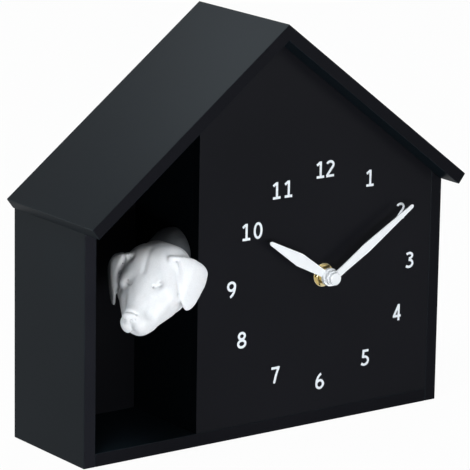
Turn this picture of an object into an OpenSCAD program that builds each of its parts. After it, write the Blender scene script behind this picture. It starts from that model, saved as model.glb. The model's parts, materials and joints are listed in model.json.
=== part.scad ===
// House-shaped quartz clock with a dog that leans out of its kennel.
// Millimetres. X runs along the front, Y towards the back, Z up.
// The origin is the centre of the base's underside.

/* [House] */
// Width over the two side walls
body_w = 240; // [236:1:248]
// Depth of the side walls
body_d = 69; // [68:0.5:72]
// Thickness of the walls, the floor and the divider
wall_t = 7.4; // [7:0.1:7.8]
// Height of the ridge over the table
ridge_h = 230.7; // [226:0.5:240]
// Slope of both roof boards, in degrees
roof_slope = 37.6; // [36:0.2:39]
// Thickness of the roof boards
roof_t = 7.1; // [6.5:0.1:8]
// How far the roof's top edge stands out past a side wall
eave_out = 5; // [4:0.5:8]
// How far the roof stands out in front of the dial
roof_front = 14.7; // [12:0.1:18]
// Clear width of the kennel
kennel_w = 65.4; // [64.6:0.1:67]
// Thickness of the dial panel
dial_t = 6; // [5.5:0.1:6.3]
// Thickness of the back panel
back_t = 5; // [4.5:0.1:5.5]
// How deep the back panel is set into the back
back_recess = 4; // [3.5:0.1:4.5]
// Side of the wooden glue blocks
block_side = 12.6; // [11:0.2:14]
// Depth of the glue blocks
block_depth = 16; // [12:1:20]

/* [Dial] */
// Distance of the dial's centre from the right wall's inner face
dial_from_wall = 75.4; // [74:0.1:77]
// Height of the dial's centre over the table
dial_z = 85; // [83:0.5:88]
// Distance of the numeral nine's centre from the pivot, which sets the ring's size
numeral_ring_r = 61; // [58:0.2:62]
// Height of the numerals
numeral_h = 9.4; // [8:0.1:10.5]
// Width of a numeral against its plain outline
numeral_wide = 1.28; // [1.1:0.02:1.35]
// Width of a numeral's printed stroke
numeral_stroke = 1.4; // [1.1:0.05:1.6]
// Thickness of the print
print_t = 0.15; // [0.1:0.05:0.3]

/* [Hands] */
// Hour hand from the pivot to its tip
hour_len = 47.5; // [44:0.5:50]
// Greatest width of the hour hand
hour_w = 7.4; // [6:0.1:8.5]
// Minute hand from the pivot to its tip
minute_len = 65; // [60:0.5:66]
// Greatest width of the minute hand
minute_w = 5.8; // [5:0.1:7]
// Sheet thickness of the hands
hand_t = 0.6; // [0.4:0.1:0.8]
// Radius of the hour hand's boss
hour_boss_r = 5; // [4.4:0.1:5.4]
// Radius of the minute hand's boss
minute_boss_r = 4.2; // [3.8:0.1:4.6]
// Radius of the cap on the hands
hand_cap_r = 3.6; // [3:0.1:4]
// Angle of the hour hand from twelve
hour_angle = 301.2; // [295:0.1:305]
// Angle of the minute hand from twelve
minute_angle = 58; // [0:1:354]

/* [Movement] */
// Depth of the movement case
case_d = 16.2; // [16:0.1:17]
// Thickness of the case's front plate
plate_t = 1.5; // [1.3:0.1:1.7]
// Wall of the case
case_wall = 1.2; // [1:0.1:1.4]
// Thickness of the rubber gasket behind the dial
gasket_t = 1; // [0.8:0.1:1.2]
// Radius of the threaded bush
bush_r = 4; // [3.9:0.05:4.1]
// How far the bush stands out in front of the dial
bush_out = 4.5; // [4.2:0.1:4.8]
// Width across the flats of the fixing nut
nut_af = 11; // [10:0.1:12]
// Thickness of the fixing nut
nut_t = 2.2; // [1.8:0.1:2.6]
// Outer radius of the brass washer
washer_r = 6.6; // [6.2:0.1:7]
// Thickness of the brass washer
washer_t = 0.5; // [0.4:0.1:0.7]
// Outer radius of the hour wheel's pipe
hour_pipe_r = 2.5; // [2.4:0.02:2.6]
// Radius of the minute arbor
arbor_r = 1.5; // [1.4:0.02:1.6]
// Radius of the wheels' thin pivots
pivot_r = 0.5; // [0.45:0.01:0.55]
// Radial play between turning and fixed parts
play = 0.05; // [0.03:0.01:0.08]
// Thickness of a wheel
wheel_t = 1; // [0.9:0.02:1.04]
// Gap from one level of wheels to the next
level_gap = 0.4; // [0.3:0.02:0.45]
// Module of the hands' gears
hand_module = 0.5; // [0.49:0.002:0.505]
// Module of the fast train
train_module = 0.28; // [0.27:0.002:0.284]
// Radius of the setting knob
knob_r = 7; // [6:0.1:8]
// Length of the setting knob
knob_len = 4; // [3:0.2:5]
// Radius of a battery cell
cell_r = 7.1; // [6.9:0.05:7.15]
// Length of a battery cell
cell_len = 50; // [48.5:0.1:50.2]

/* [Dog] */
// Centre of the skull from the left wall's inner face
head_from_wall = 30.6; // [30.2:0.1:31.6]
// Centre of the skull in front of the walls' front edges
head_out = 7; // [5:0.5:9]
// Centre of the skull over the table
head_z = 101.2; // [99:0.2:104]
// Half width of the skull
skull_r = 17.5; // [16:0.1:18.5]
// Turn of the head towards the left, in degrees
head_yaw = 57.5; // [54:0.5:60]
// Tilt of the nose downwards, in degrees
head_pitch = 14.5; // [12:0.5:20]
// Lean of the head to its side
head_roll = -2.5; // [-5:0.5:2]
// Radius of the neck
neck_r = 13; // [11:0.1:13.4]
// How far the dog draws back into its kennel
dog_travel = 25; // [20:0.5:25.5]

/* [Dog drive] */
// Height of the arm's middle over the table
arm_z = 107; // [105:0.5:110]
// Distance of the arm's middle behind the walls' front edges
arm_depth = 20; // [18:0.1:20.5]
// Length of the sliding carriage
carriage_len = 16; // [14:0.2:16.2]
// Width of the sliding carriage
carriage_w = 11.5; // [10:0.1:12]
// Radius of the guide rods
rod_r = 1.5; // [1.3:0.05:1.7]
// Distance between the two guide rods
rod_gap = 16; // [14:0.2:17]
// Length of the rack
rack_len = 28; // [27.5:0.1:28.1]
// Module of the rack and its pinion
rack_module = 0.8; // [0.78:0.005:0.81]
// Teeth on the drive pinion
pinion_teeth = 15; // [14:1:16]
// Wall of the moulded chassis
chassis_t = 2.5; // [2.2:0.1:2.7]
// Width of the gear motor
motor_w = 12; // [11:0.1:13]
// Thickness of the gear motor
motor_d = 10; // [9:0.1:11]
// Length of the gear motor
motor_len = 24; // [22:0.5:26]

/* [Sound and power] */
// Radius of the loudspeaker
speaker_r = 18; // [16:0.2:20]
// Depth of the loudspeaker
speaker_d = 11; // [9:0.2:14]
// Width of the sound board
board_w = 38; // [34:0.5:39]
// Height of the sound board
board_h = 42; // [38:0.5:46]
// Travel of the test button
button_travel = 1.5; // [1:0.1:1.8]
// Travel of the slide switch
switch_travel = 3; // [2:0.1:3.5]
// Radius of the test button
button_r = 3.5; // [3:0.1:4]

/* [Hidden] */
fine = 64;
medium = 32;
eps = 0.01;

// Faces of the house
half_w = body_w / 2;
front_y = -body_d / 2;
rear_y = body_d / 2;
in_left = -half_w + wall_t;
in_right = half_w - wall_t;
div_left = in_left + kennel_w;
div_right = div_left + wall_t;
dial_back = front_y + dial_t;
back_out = rear_y - back_recess;
back_in = back_out - back_t;
slope_tan = tan(roof_slope);
under_top = ridge_h - roof_t / cos(roof_slope);
eave_x = half_w + eave_out;
eave_top = ridge_h - eave_x * slope_tan;

// Height of the roof's underside at x
function under(x) = under_top - abs(x) * slope_tan;
// A point at a distance and an angle from another
function polar(p, a, r) = [p[0] + r * cos(a), p[1] + r * sin(a)];

// A flat XZ outline pushed along Y from y0 to y1
module along_y(y0, y1) {
    translate([0, y1, 0]) rotate([90, 0, 0]) linear_extrude(y1 - y0) children();
}
// A flat XY outline pushed along Z from z0 to z1
module along_z(z0, z1) {
    translate([0, 0, z0]) linear_extrude(z1 - z0) children();
}
// A box between two corners
module span(a, b) {
    translate(a) cube(b - a);
}
// A round bar along Y at the XZ point p
module bar_y(p, r, y0, y1, sides = fine) {
    along_y(y0, y1) translate(p) circle(r, $fn = sides);
}

// The house
module left_wall() {
    color("#25292b") along_y(front_y, rear_y)
        polygon([[-half_w, 0], [in_left, 0], [in_left, under(in_left)], [-half_w, under(half_w)]]);
}
module right_wall() {
    color("#25292b") along_y(front_y, rear_y)
        polygon([[half_w, 0], [in_right, 0], [in_right, under(in_right)], [half_w, under(half_w)]]);
}
module floor_board() {
    color("#1b1a1f") span([in_left, front_y, 0], [in_right, rear_y, wall_t]);
}
module divider_wall() {
    color("#1b1a1f") difference() {
        along_y(dial_back, back_in) polygon([
            [div_left, wall_t], [div_right, wall_t],
            [div_right, under(div_right)], [div_left, under(div_left)]]);
        arm_slot();
        for (p = chassis_screw_points)
            translate([div_right - chassis_screw_in, p[0], p[1]]) rotate([0, 90, 0])
                cylinder(r = screw_r, h = chassis_screw_in + eps, $fn = medium);
        for (i = [0, 1]) screw_hole(back_screw_points[i], back_in - screw_in, back_in + eps);
    }
}
module dial_panel() {
    color("#18171c") difference() {
        along_y(front_y, dial_back) polygon([
            [div_left, wall_t], [in_right, wall_t], [in_right, under(in_right)],
            [0, under_top], [div_left, under(div_left)]]);
        bar_y(dial_p, bush_hole_r, front_y - 1, dial_back + 1);
    }
}
module back_panel() {
    color("#232326") difference() {
        along_y(back_in, back_out) polygon([
            [in_left, wall_t], [in_right, wall_t], [in_right, under(in_right)],
            [0, under_top], [in_left, under(in_left)]]);
        span([service_x0, back_in - 1, service_z0], [service_x1, back_out + 1, service_z1]);
        span([box_x0 - fit, back_in - 1, box_z0 - fit], [box_x1 + fit, back_out + 1, box_z1 + fit]);
        for (p = back_screw_points) screw_hole(p, back_in - 1, back_out + 1);
        for (p = grille_points) bar_y(p, grille_hole_r, back_in - 1, back_out + 1, medium);
        bar_y(button_p, button_r + button_play, back_in - 1, back_out + 1);
        span([switch_p[0] - switch_slot_w / 2, back_in - 1, switch_p[1] - switch_slot_h / 2],
            [switch_p[0] + switch_slot_w / 2, back_out + 1, switch_p[1] + switch_slot_h / 2]);
    }
}
module roof_board(side) {
    color("#33383a") along_y(front_y - roof_front, rear_y)
        polygon([
            [0, ridge_h], [side * eave_x, eave_top],
            [side * (eave_x - roof_t * sin(roof_slope)), eave_top - roof_t * cos(roof_slope)],
            [0, under_top]]);
}
module roof_left() roof_board(-1);
module roof_right() roof_board(1);

// Glue blocks and the screws of the back panel
block_y0 = back_in - block_depth;
upper_block_z = under(in_right) - block_side * 2.2;
ridge_block_drop = 16;
ridge_block_t = 3;
back_screw_points = [
    [div_left + wall_t / 2, 30], [div_left + wall_t / 2, 150],
    [in_right - block_side / 2, wall_t + block_side / 2],
    [in_right - block_side / 2, upper_block_z + block_side / 2],
    [0, under_top - ridge_block_drop * 0.55]];
screw_r = 1.3;
screw_head_r = 2.8;
screw_in = 10;
screw_head_h = 1.6;
module screw_hole(p, y0, y1) bar_y(p, screw_r + play, y0, y1, medium);
module glue_blocks() {
    color("#b58a5a") difference() {
        union() {
            span([in_right - block_side, block_y0, wall_t], [in_right, back_in, wall_t + block_side]);
            span([in_right - block_side, block_y0, upper_block_z],
                [in_right, back_in, upper_block_z + block_side]);
            along_y(block_y0, back_in) polygon([
                [-ridge_block_drop, under(ridge_block_drop)], [0, under_top],
                [ridge_block_drop, under(ridge_block_drop)],
                [ridge_block_drop * 0.6, under(ridge_block_drop) - ridge_block_t],
                [-ridge_block_drop * 0.6, under(ridge_block_drop) - ridge_block_t]]);
        }
        for (i = [2:4]) screw_hole(back_screw_points[i], back_in - screw_in, back_in + 1);
    }
}
module back_screws() {
    color("silver") for (p = back_screw_points) difference() {
        union() {
            bar_y(p, screw_r, back_in - screw_in + play, back_out + eps, medium);
            translate([p[0], back_out, p[1]]) rotate([-90, 0, 0])
                cylinder(r1 = screw_head_r, r2 = screw_head_r * 0.7, h = screw_head_h, $fn = medium);
        }
        for (a = [0, 90]) translate([p[0], back_out + screw_head_h, p[1]]) rotate([0, a, 0])
            cube([screw_head_r * 1.1, screw_head_h * 0.9, screw_head_r * 0.22], center = true);
    }
}

// Dial print: each stroke is a ribbon along a path
dial_p = [in_right - dial_from_wall, dial_z];
bush_hole_r = bush_r + 0.1;
arc_steps = 14;
pen = numeral_stroke / numeral_h / 2;
function arc(cx, cz, rx, rz, a0, a1) = [
    for (i = [0:arc_steps]) let (a = a0 + (a1 - a0) * i / arc_steps)
        [cx + rx * cos(a), cz + rz * sin(a)]];
function side_step(path, i) = let (
    a = path[max(i - 1, 0)], b = path[min(i + 1, len(path) - 1)], d = b - a)
    [-d[1], d[0]] / norm(d) * pen;
function widened(path) = [for (p = path) [p[0] * numeral_wide, p[1]]];
function both_edges(path) = concat(
    [for (i = [0:len(path) - 1]) path[i] + side_step(path, i)],
    [for (i = [len(path) - 1:-1:0]) path[i] - side_step(path, i)]);
function ribbon(path) = both_edges(widened(path));
module oval_ring(cx, cz, rx, rz) {
    difference() {
        polygon(arc_open(cx * numeral_wide, cz, rx * numeral_wide + pen, rz + pen));
        polygon(arc_open(cx * numeral_wide, cz, rx * numeral_wide - pen, rz - pen));
    }
}
oval_steps = 24;
function arc_open(cx, cz, rx, rz) = [
    for (i = [0:oval_steps - 1]) let (a = 360 * i / oval_steps) [cx + rx * cos(a), cz + rz * sin(a)]];
// Height of the lowest and highest stroke middles, in numeral heights
low = pen;
top = 1 - pen;
module digit(n) {
    if (n == 0) oval_ring(0.25, 0.5, 0.19, 0.5 - pen);
    if (n == 1) {
        polygon(ribbon([[0.27, 0], [0.27, 1]]));
        polygon(ribbon([[0.06, 0.79], [0.25, 0.95]]));
        polygon(ribbon([[0.05, low], [0.47, low]]));
    }
    if (n == 2) {
        polygon(ribbon(concat(arc(0.24, 0.73, 0.19, 0.27 - pen, 155, -38), [[0.07, 0.11], [0.05, low]])));
        polygon(ribbon([[0.03, low], [0.47, low]]));
    }
    if (n == 3) {
        polygon(ribbon(arc(0.22, 0.76, 0.18, 0.24 - pen, 145, -95)));
        polygon(ribbon(arc(0.21, 0.29, 0.21, 0.29 - pen, 95, -140)));
    }
    if (n == 4) {
        polygon(ribbon([[0.36, 0.97], [0.07, 0.26]]));
        polygon(ribbon([[0.03, 0.28], [0.49, 0.28]]));
        polygon(ribbon([[0.36, 1], [0.36, 0]]));
    }
    if (n == 5) {
        polygon(ribbon([[0.11, top], [0.42, top]]));
        polygon(ribbon([[0.14, 1], [0.11, 0.5]]));
        polygon(ribbon(arc(0.19, 0.32, 0.22, 0.32 - pen, 112, -140)));
    }
    if (n == 6) {
        oval_ring(0.25, 0.31, 0.19, 0.31 - pen);
        polygon(ribbon(arc(0.44, 0.33, 0.38, 0.64, 108, 184)));
    }
    if (n == 7) {
        polygon(ribbon([[0.02, top], [0.46, top]]));
        polygon(ribbon([[0.44, 1], [0.3, 0.55], [0.17, 0]]));
    }
    if (n == 8) {
        oval_ring(0.24, 0.74, 0.165, 0.26 - pen);
        oval_ring(0.24, 0.28, 0.2, 0.28 - pen);
    }
    if (n == 9) {
        oval_ring(0.25, 0.69, 0.19, 0.31 - pen);
        polygon(ribbon(arc(0.06, 0.67, 0.38, 0.64, -72, 4)));
    }
}
digit_mid = 0.25 * numeral_wide;
wide_step = 0.66 * numeral_wide;
close_step = 0.57 * numeral_wide;
// The numbers' centres round the pivot for a ring of 61, as they stand on the dial
number_places = [
    [31.3, 50.8], [53.6, 29.4], [61.2, 0], [53, -29.4], [31.3, -52.4], [-0.6, -61],
    [-31.4, -52.6], [-54.6, -29.2], [-62.2, 0.2], [-49, 31], [-29, 51.6], [0, 59.6]];
module number(n) {
    tens = floor(n / 10);
    step = tens == 0 ? 0 : n == 12 ? close_step : wide_step;
    translate([-digit_mid - step / 2, -0.5]) {
        if (tens > 0) digit(tens);
        translate([step, 0]) digit(n - tens * 10);
    }
}
module dial_numerals() {
    color("#e8eef2") along_y(front_y - print_t, front_y)
        for (n = [1:12]) translate(dial_p + number_places[n - 1] * numeral_ring_r / 61)
            scale(numeral_h) number(n);
}

// Hands and what holds them, counted outwards from the dial's face
hour_rear = front_y - bush_out - 0.7;
hour_boss_t = 2.2;
hour_front = hour_rear - hour_boss_t;
minute_rear = hour_front - 0.5;
minute_boss_t = 2;
minute_front = minute_rear - minute_boss_t;
cap_t = 2.3;
cap_wall = 1;
seat = 0.02;
tip_half = 1.1;
root_half = 2.15;
module hand_outline(len, w, belly) {
    hull_points = [
        [-root_half, 0], [-root_half * 1.02, len * 0.14], [-w / 2, len * belly],
        [-tip_half, len - tip_half], [-tip_half * 0.5, len - 0.2], [0, len]];
    polygon(concat(hull_points, [for (i = [4:-1:0]) [-hull_points[i][0], hull_points[i][1]]]));
}
module hour_hand() {
    color("white") difference() {
        union() {
            along_y(hour_rear - hand_t, hour_rear) translate(dial_p) rotate(-hour_angle)
                hand_outline(hour_len, hour_w, 0.5);
            bar_y(dial_p, hour_boss_r, hour_front, hour_rear);
        }
        bar_y(dial_p, hour_pipe_r + seat, hour_front - 1, hour_rear + 1);
    }
}
module minute_hand() {
    color("white") difference() {
        union() {
            along_y(minute_front, minute_front + hand_t) translate(dial_p) rotate(-minute_angle)
                hand_outline(minute_len, minute_w, 0.42);
            bar_y(dial_p, minute_boss_r, minute_front, minute_rear);
        }
        bar_y(dial_p, arbor_r + seat, minute_front - 1, minute_rear + 1);
    }
}
module hand_cap() {
    color("white") translate([dial_p[0], minute_front, dial_p[1]]) rotate([90, 0, 0])
        rotate_extrude($fn = fine) polygon([
            [arbor_r + seat, 0], [hand_cap_r, 0], [hand_cap_r, cap_t - 0.4],
            [hand_cap_r - 0.4, cap_t], [0, cap_t], [0, cap_t - cap_wall],
            [arbor_r + seat, cap_t - cap_wall]]);
}

// Movement, counted backwards from the dial's rear face; the case is as wide as its cell needs
cell_room = 3.6;
case_side = cell_len + case_wall * 2 + cell_room;
half_case = case_side / 2;
case_front = dial_back + gasket_t;
plate_rear = case_front + plate_t;
case_rear = case_front + case_d;
case_inner = case_rear - case_wall;
socket = 0.6;
pivot_in = socket * 0.7;
gasket_margin = 6;
plate_gap = 0.3;
flange_r = 5.6;
flange_t = 0.8;
function level(k) = plate_rear + plate_gap + k * (wheel_t + level_gap);

module fixing_nut() {
    nut_rear = front_y - washer_t;
    color("#c9a54a") difference() {
        intersection() {
            bar_y(dial_p, nut_af / 2 / cos(30), nut_rear - nut_t, nut_rear, 6);
            translate([dial_p[0], nut_rear, dial_p[1]]) rotate([90, 0, 0])
                cylinder(r1 = nut_af / 2 / cos(30) + nut_t, r2 = nut_af / 2 + 0.2, h = nut_t, $fn = fine);
        }
        bar_y(dial_p, bush_r + seat, nut_rear - nut_t - 1, nut_rear + 1);
    }
}
module brass_washer() {
    color("#d8b860") difference() {
        bar_y(dial_p, washer_r, front_y - washer_t, front_y);
        bar_y(dial_p, bush_r + 0.1, front_y - washer_t - 1, front_y + 1);
    }
}
module threaded_bush() {
    color("#c9a54a") difference() {
        union() {
            bar_y(dial_p, bush_r, front_y - bush_out, plate_rear);
            bar_y(dial_p, flange_r, case_front - flange_t, case_front);
        }
        bar_y(dial_p, hour_pipe_r + play, front_y - bush_out - 1, plate_rear + 1);
    }
}
module rubber_gasket() {
    gasket_half = half_case - gasket_margin;
    color("#101010") difference() {
        along_y(dial_back, case_front) translate(dial_p) square(gasket_half * 2, center = true);
        bar_y(dial_p, flange_r + 0.2, dial_back - 1, case_front + 1);
    }
}

// Places of the wheels, as angles and centre distances
function mesh(m, a, b) = m * (a + b) / 2;
cannon_n = 10;
motion_n = 30;
motion_pinion_n = 8;
hour_n = 32;
knob_n = 12;
centre_n = 64;
small_n = 8;
big_n = 60;
fifth_pinion_n = 10;
fifth_n = 50;
rotor_n = 10;
motion_a = 160;
knob_a = 100;
third_a = 30;
fourth_a = 60;
fifth_a = 150;
rotor_a = 175;
motion_p = polar([0, 0], motion_a, mesh(hand_module, cannon_n, motion_n));
knob_p = polar(motion_p, knob_a, mesh(hand_module, motion_n, knob_n));
third_p = polar([0, 0], third_a, mesh(train_module, centre_n, small_n));
fourth_p = polar(third_p, fourth_a, mesh(train_module, big_n, small_n));
fifth_p = polar(fourth_p, fifth_a, mesh(train_module, big_n, fifth_pinion_n));
rotor_p = polar(fifth_p, rotor_a, mesh(train_module, fifth_n, rotor_n));
pivots = [motion_p, knob_p, third_p, fourth_p, fifth_p, rotor_p];

// Turn of a gear that meshes with one turned by t0 and lying at angle a from it
function in_mesh(t0, n0, a, n1) = a + 180 - (0.5 - (a - t0) * n0 / 360) * 360 / n1;
motion_t = in_mesh(0, cannon_n, motion_a, motion_n);
motion_pinion_t = in_mesh(0, hour_n, motion_a, motion_pinion_n);
knob_t = in_mesh(motion_t, motion_n, knob_a, knob_n);
third_pinion_t = in_mesh(0, centre_n, third_a, small_n);
fourth_pinion_t = in_mesh(0, big_n, fourth_a, small_n);
fifth_pinion_t = in_mesh(0, big_n, fifth_a, fifth_pinion_n);
rotor_t = in_mesh(0, fifth_n, rotor_a, rotor_n);

// Tooth outline: pointed flanks with room to turn
tooth_tip = 0.75;
tooth_root = 1.1;
module gear_outline(m, n) {
    pitch_r = m * n / 2;
    step = 360 / n;
    polygon([for (i = [0:n - 1]) for (q = [
            [pitch_r - tooth_root * m, -0.27], [pitch_r, -0.2], [pitch_r + tooth_tip * m, -0.09],
            [pitch_r + tooth_tip * m, 0.09], [pitch_r, 0.2], [pitch_r - tooth_root * m, 0.27]])
        polar([0, 0], (i + q[1]) * step, q[0])]);
}
module gear(p, m, n, turn, k, thick = wheel_t) {
    along_y(level(k), level(k) + thick) translate(dial_p + p) rotate(turn) gear_outline(m, n);
}
module pivot(p, y0 = plate_rear - pivot_in, y1 = case_inner + pivot_in) {
    bar_y(dial_p + p, pivot_r, y0, y1, medium);
}
// The stout middle of an arbor between two levels
module stem(p, r, k0, k1) {
    bar_y(dial_p + p, r, level(k0), level(k1), medium);
}
module movement_plate() {
    color("#1a1a1a") difference() {
        along_y(case_front, plate_rear) translate(dial_p) square(case_side, center = true);
        bar_y(dial_p, bush_r + seat, case_front - 1, plate_rear + 1);
        for (p = pivots) bar_y(dial_p + p, pivot_r + play, plate_rear - socket, plate_rear + 1, medium);
    }
}
// The cell's bay at the foot of the case and the room left round the cell
bay_spare = 4.2;
bay_top = cell_r * 2 + bay_spare;
bay_floor = 0.6;
module movement_case() {
    inner_side = case_side - case_wall * 2;
    corner = dial_p + [case_wall - half_case, case_wall - half_case];
    color("#1a1a1a") difference() {
        along_y(plate_rear, case_rear) translate(dial_p) square(case_side, center = true);
        along_y(plate_rear - 1, case_inner) translate(corner + [0, bay_top - case_wall])
            square([inner_side, case_side - bay_top - case_wall]);
        along_y(plate_rear + bay_floor, case_rear + 1) translate(corner)
            square([inner_side, bay_top - case_wall * 2]);
        bar_y(dial_p + knob_p, knob_shaft_r + play, case_inner - 1, case_rear + 1, medium);
        for (p = [[0, 0], motion_p, third_p, fourth_p, fifth_p, rotor_p])
            bar_y(dial_p + p, pivot_r + play, case_inner - 1, case_inner + socket, medium);
    }
}
module hour_wheel() {
    color("ivory") difference() {
        union() {
            gear([0, 0], hand_module, hour_n, 0, 0);
            bar_y(dial_p, hour_pipe_r, hour_front + 0.3, level(0) + wheel_t);
        }
        bar_y(dial_p, arbor_r + play, hour_front - 1, level(1));
    }
}
cannon_bore = 3;
module minute_arbor() {
    color("#c9a54a") difference() {
        union() {
            gear([0, 0], hand_module, cannon_n, 0, 1);
            bar_y(dial_p, arbor_r, minute_front - cap_t + cap_wall + 0.1, level(1) + wheel_t);
        }
        bar_y(dial_p, pivot_r + play, level(1) + wheel_t - cannon_bore, level(2));
    }
}
module motion_wheel() {
    color("ivory") {
        gear(motion_p, hand_module, motion_n, motion_t, 1);
        gear(motion_p, hand_module, motion_pinion_n, motion_pinion_t, 0);
        stem(motion_p, 1, 0, 1);
        pivot(motion_p);
    }
}
module centre_wheel() {
    color("ivory") {
        gear([0, 0], train_module, centre_n, 0, 2);
        pivot([0, 0], level(1) + wheel_t - cannon_bore + 0.3);
    }
}
module train_wheel(p, wheel_n, pinion_n, pinion_turn, k) {
    color("ivory") {
        gear(p, train_module, wheel_n, 0, k);
        gear(p, train_module, pinion_n, pinion_turn, k - 1);
        stem(p, train_stem_r, k - 1, k);
        pivot(p);
    }
}
module third_wheel() train_wheel(third_p, big_n, small_n, third_pinion_t, 3);
module fourth_wheel() train_wheel(fourth_p, big_n, small_n, fourth_pinion_t, 4);
module fifth_wheel() train_wheel(fifth_p, fifth_n, fifth_pinion_n, fifth_pinion_t, 5);
// Magnet of the rotor, the stator plate round it and the coil above
magnet_r = 2.5;
magnet_t = 2.6;
train_stem_r = 0.8;
module rotor() {
    color("#555555") {
        gear(rotor_p, train_module, rotor_n, rotor_t, 5);
        stem(rotor_p, train_stem_r, 5, 6);
        pivot(rotor_p);
        bar_y(dial_p + rotor_p, magnet_r, level(6), level(6) + magnet_t, medium);
    }
}
stator_y0 = level(6) + magnet_t - 1.2;
stator_t = 0.8;
coil_r = 2.4;
coil_x0 = -half_case + case_wall + 1.2;
coil_x1 = rotor_p[0] - magnet_r - 4;
coil_z = half_case - case_wall - coil_r - 1.2;
module stator() {
    color("silver") difference() {
        along_y(stator_y0, stator_y0 + stator_t) translate(dial_p) {
            translate([rotor_p[0] - 5.5, rotor_p[1] - 3.6]) square([10.5, 8]);
            translate([coil_x1, coil_z - coil_r]) square([rotor_p[0] - coil_x1, coil_r * 1.6]);
            translate([coil_x0, coil_z - coil_r]) square([3, coil_r * 2]);
        }
        bar_y(dial_p + rotor_p, magnet_r + 0.4, stator_y0 - 1, stator_y0 + 2, medium);
    }
}
module drive_coil() {
    coil_y = stator_y0 - coil_r;
    color("#9c4a22") translate([dial_p[0] + coil_x0, coil_y, dial_p[1] + coil_z]) rotate([0, 90, 0]) {
        length = coil_x1 + 2 - coil_x0;
        cheek = 0.8;
        cylinder(r = coil_r * 0.8, h = length, $fn = medium);
        for (h = [0, length - cheek]) translate([0, 0, h]) cylinder(r = coil_r, h = cheek, $fn = medium);
    }
}
clock_board_size = [8.2, 11.6];
clock_board_t = 1;
crystal_size = [3, 8];
crystal_t = 2.4;
module clock_board() {
    corner = dial_p + [half_case - case_wall - 0.4 - clock_board_size[0], bay_top - half_case + 0.4];
    board_front = plate_rear + clock_board_t;
    color("darkgreen") {
        along_y(plate_rear, board_front) translate(corner) square(clock_board_size);
        along_y(board_front, board_front + crystal_t)
            translate(corner + (clock_board_size - crystal_size) / 2) square(crystal_size);
    }
}
clock_cell_z = dial_p[1] - half_case + case_wall + cell_r + 0.5;
clock_cell_y = plate_rear + bay_floor + 0.2 + cell_r;
cell_cap_r = 2.7;
cell_cap_h = 1.5;
// A cell along X from x0, with its small cap on the right
module cell(x0) {
    translate([x0, 0, 0]) rotate([0, 90, 0]) {
        cylinder(r = cell_r, h = cell_len - cell_cap_h, $fn = fine);
        cylinder(r = cell_cap_r, h = cell_len, $fn = medium);
    }
}
module clock_cell() {
    color("#3a6ea5") translate([dial_p[0], clock_cell_y, clock_cell_z]) cell(-cell_len / 2);
}
leaf = [0.6, 8, 9];
spring_side = 3;
module clock_contacts() {
    leaf_x = half_case - case_wall - leaf[0] / 2;
    spring_len = half_case - case_wall - leaf[0] - cell_len / 2;
    color("silver") for (s = [-1, 1]) {
        translate([dial_p[0] + s * leaf_x, clock_cell_y, clock_cell_z])
            cube([leaf[0] - eps, leaf[1], leaf[2]], center = true);
        translate([dial_p[0] + s * (cell_len + spring_len) / 2, clock_cell_y, clock_cell_z])
            cube([spring_len - eps, spring_side, spring_side], center = true);
    }
}
knob_shaft_r = 1.4;
module setting_knob() {
    grips = 24;
    grip_r = 0.5;
    knob_y = case_rear + 0.4;
    color("#2a2a2a") {
        gear(knob_p, hand_module, knob_n, knob_t, 1);
        bar_y(dial_p + knob_p, pivot_r, plate_rear - pivot_in, level(1) + eps, medium);
        bar_y(dial_p + knob_p, knob_shaft_r, level(1) + wheel_t - eps, knob_y, medium);
        difference() {
            bar_y(dial_p + knob_p, knob_r, knob_y, knob_y + knob_len);
            for (i = [0:grips - 1])
                bar_y(dial_p + polar(knob_p, i * 360 / grips, knob_r + grip_r * 0.3), grip_r,
                    knob_y - 1, knob_y + knob_len + 1, 16);
        }
    }
}

// The dog: skull, muzzle, ears and neck in the head's own frame, nose along -Y
head_p = [in_left + head_from_wall, front_y - head_out, head_z];
neck_end_x = div_left - 0.8;
neck_end = [neck_end_x, front_y + arm_depth, arm_z];
neck_root = [8, 8, 2];
smooth = 24;
module ball(p, r, sides = smooth) {
    translate(p) sphere(r, $fn = sides);
}
module in_head_frame() {
    translate(head_p) rotate([0, 0, -head_yaw]) rotate([head_pitch, 0, 0]) rotate([0, head_roll, 0])
        scale(skull_r / 17.5) children();
}
// A thin flap from the root over the outer corner down to the tip
module ear(s) {
    hull() {
        ball([s * 14, -2.5, 10.5], 2, 14);
        ball([s * 14, 4, 10.8], 2.2, 14);
        ball([s * 28, 9, 2.2], 1.6, 14);
        ball([s * 17.6, -4.5, 0], 1.5, 14);
    }
    hull() {
        ball([s * 28, 9, 2.2], 1.6, 14);
        ball([s * 17.6, -4.5, 0], 1.5, 14);
        ball([s * 21.6, -5, -13.6], 2, 14);
    }
}
// A ball of three radii, tilted up at the back, and a pair of them
module lump(p, radii, tilt = 0) {
    translate(p) rotate([tilt, 0, 0]) scale(radii) sphere(1, $fn = smooth);
}
module lumps(p, radii, tilt = 0) {
    for (s = [-1, 1]) lump([s * p[0], p[1], p[2]], radii, tilt);
}
module skull() {
    hull() {
        lump([0, 2, -4.5], [19, 17.3, 15.3], 15);
        lump([0, 11, 1], [15, 13, 13.3], 15);
        lumps([6, 7, 0], [12.5, 15.3, 14.2], 15);
        lumps([4, 6, -11.5], [11.5, 15, 11.5]);
    }
}
module face() {
    hull() {
        lumps([7.5, -5, -3.5], [10, 11, 9.5]);
        lump([0, -20, -8.4], [8.2, 11, 7.8], 14);
        lumps([4, -18, -12.5], [6, 8, 7]);
    }
}
module muzzle() {
    hull() {
        lumps([3, -26.4, -11.9], [5.3, 6.2, 6.2]);
        lump([0, -30.4, -5.8], [3.9, 2.9, 3.1]);
        lump([0, -19, -14.5], [7, 9, 7]);
    }
}
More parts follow.
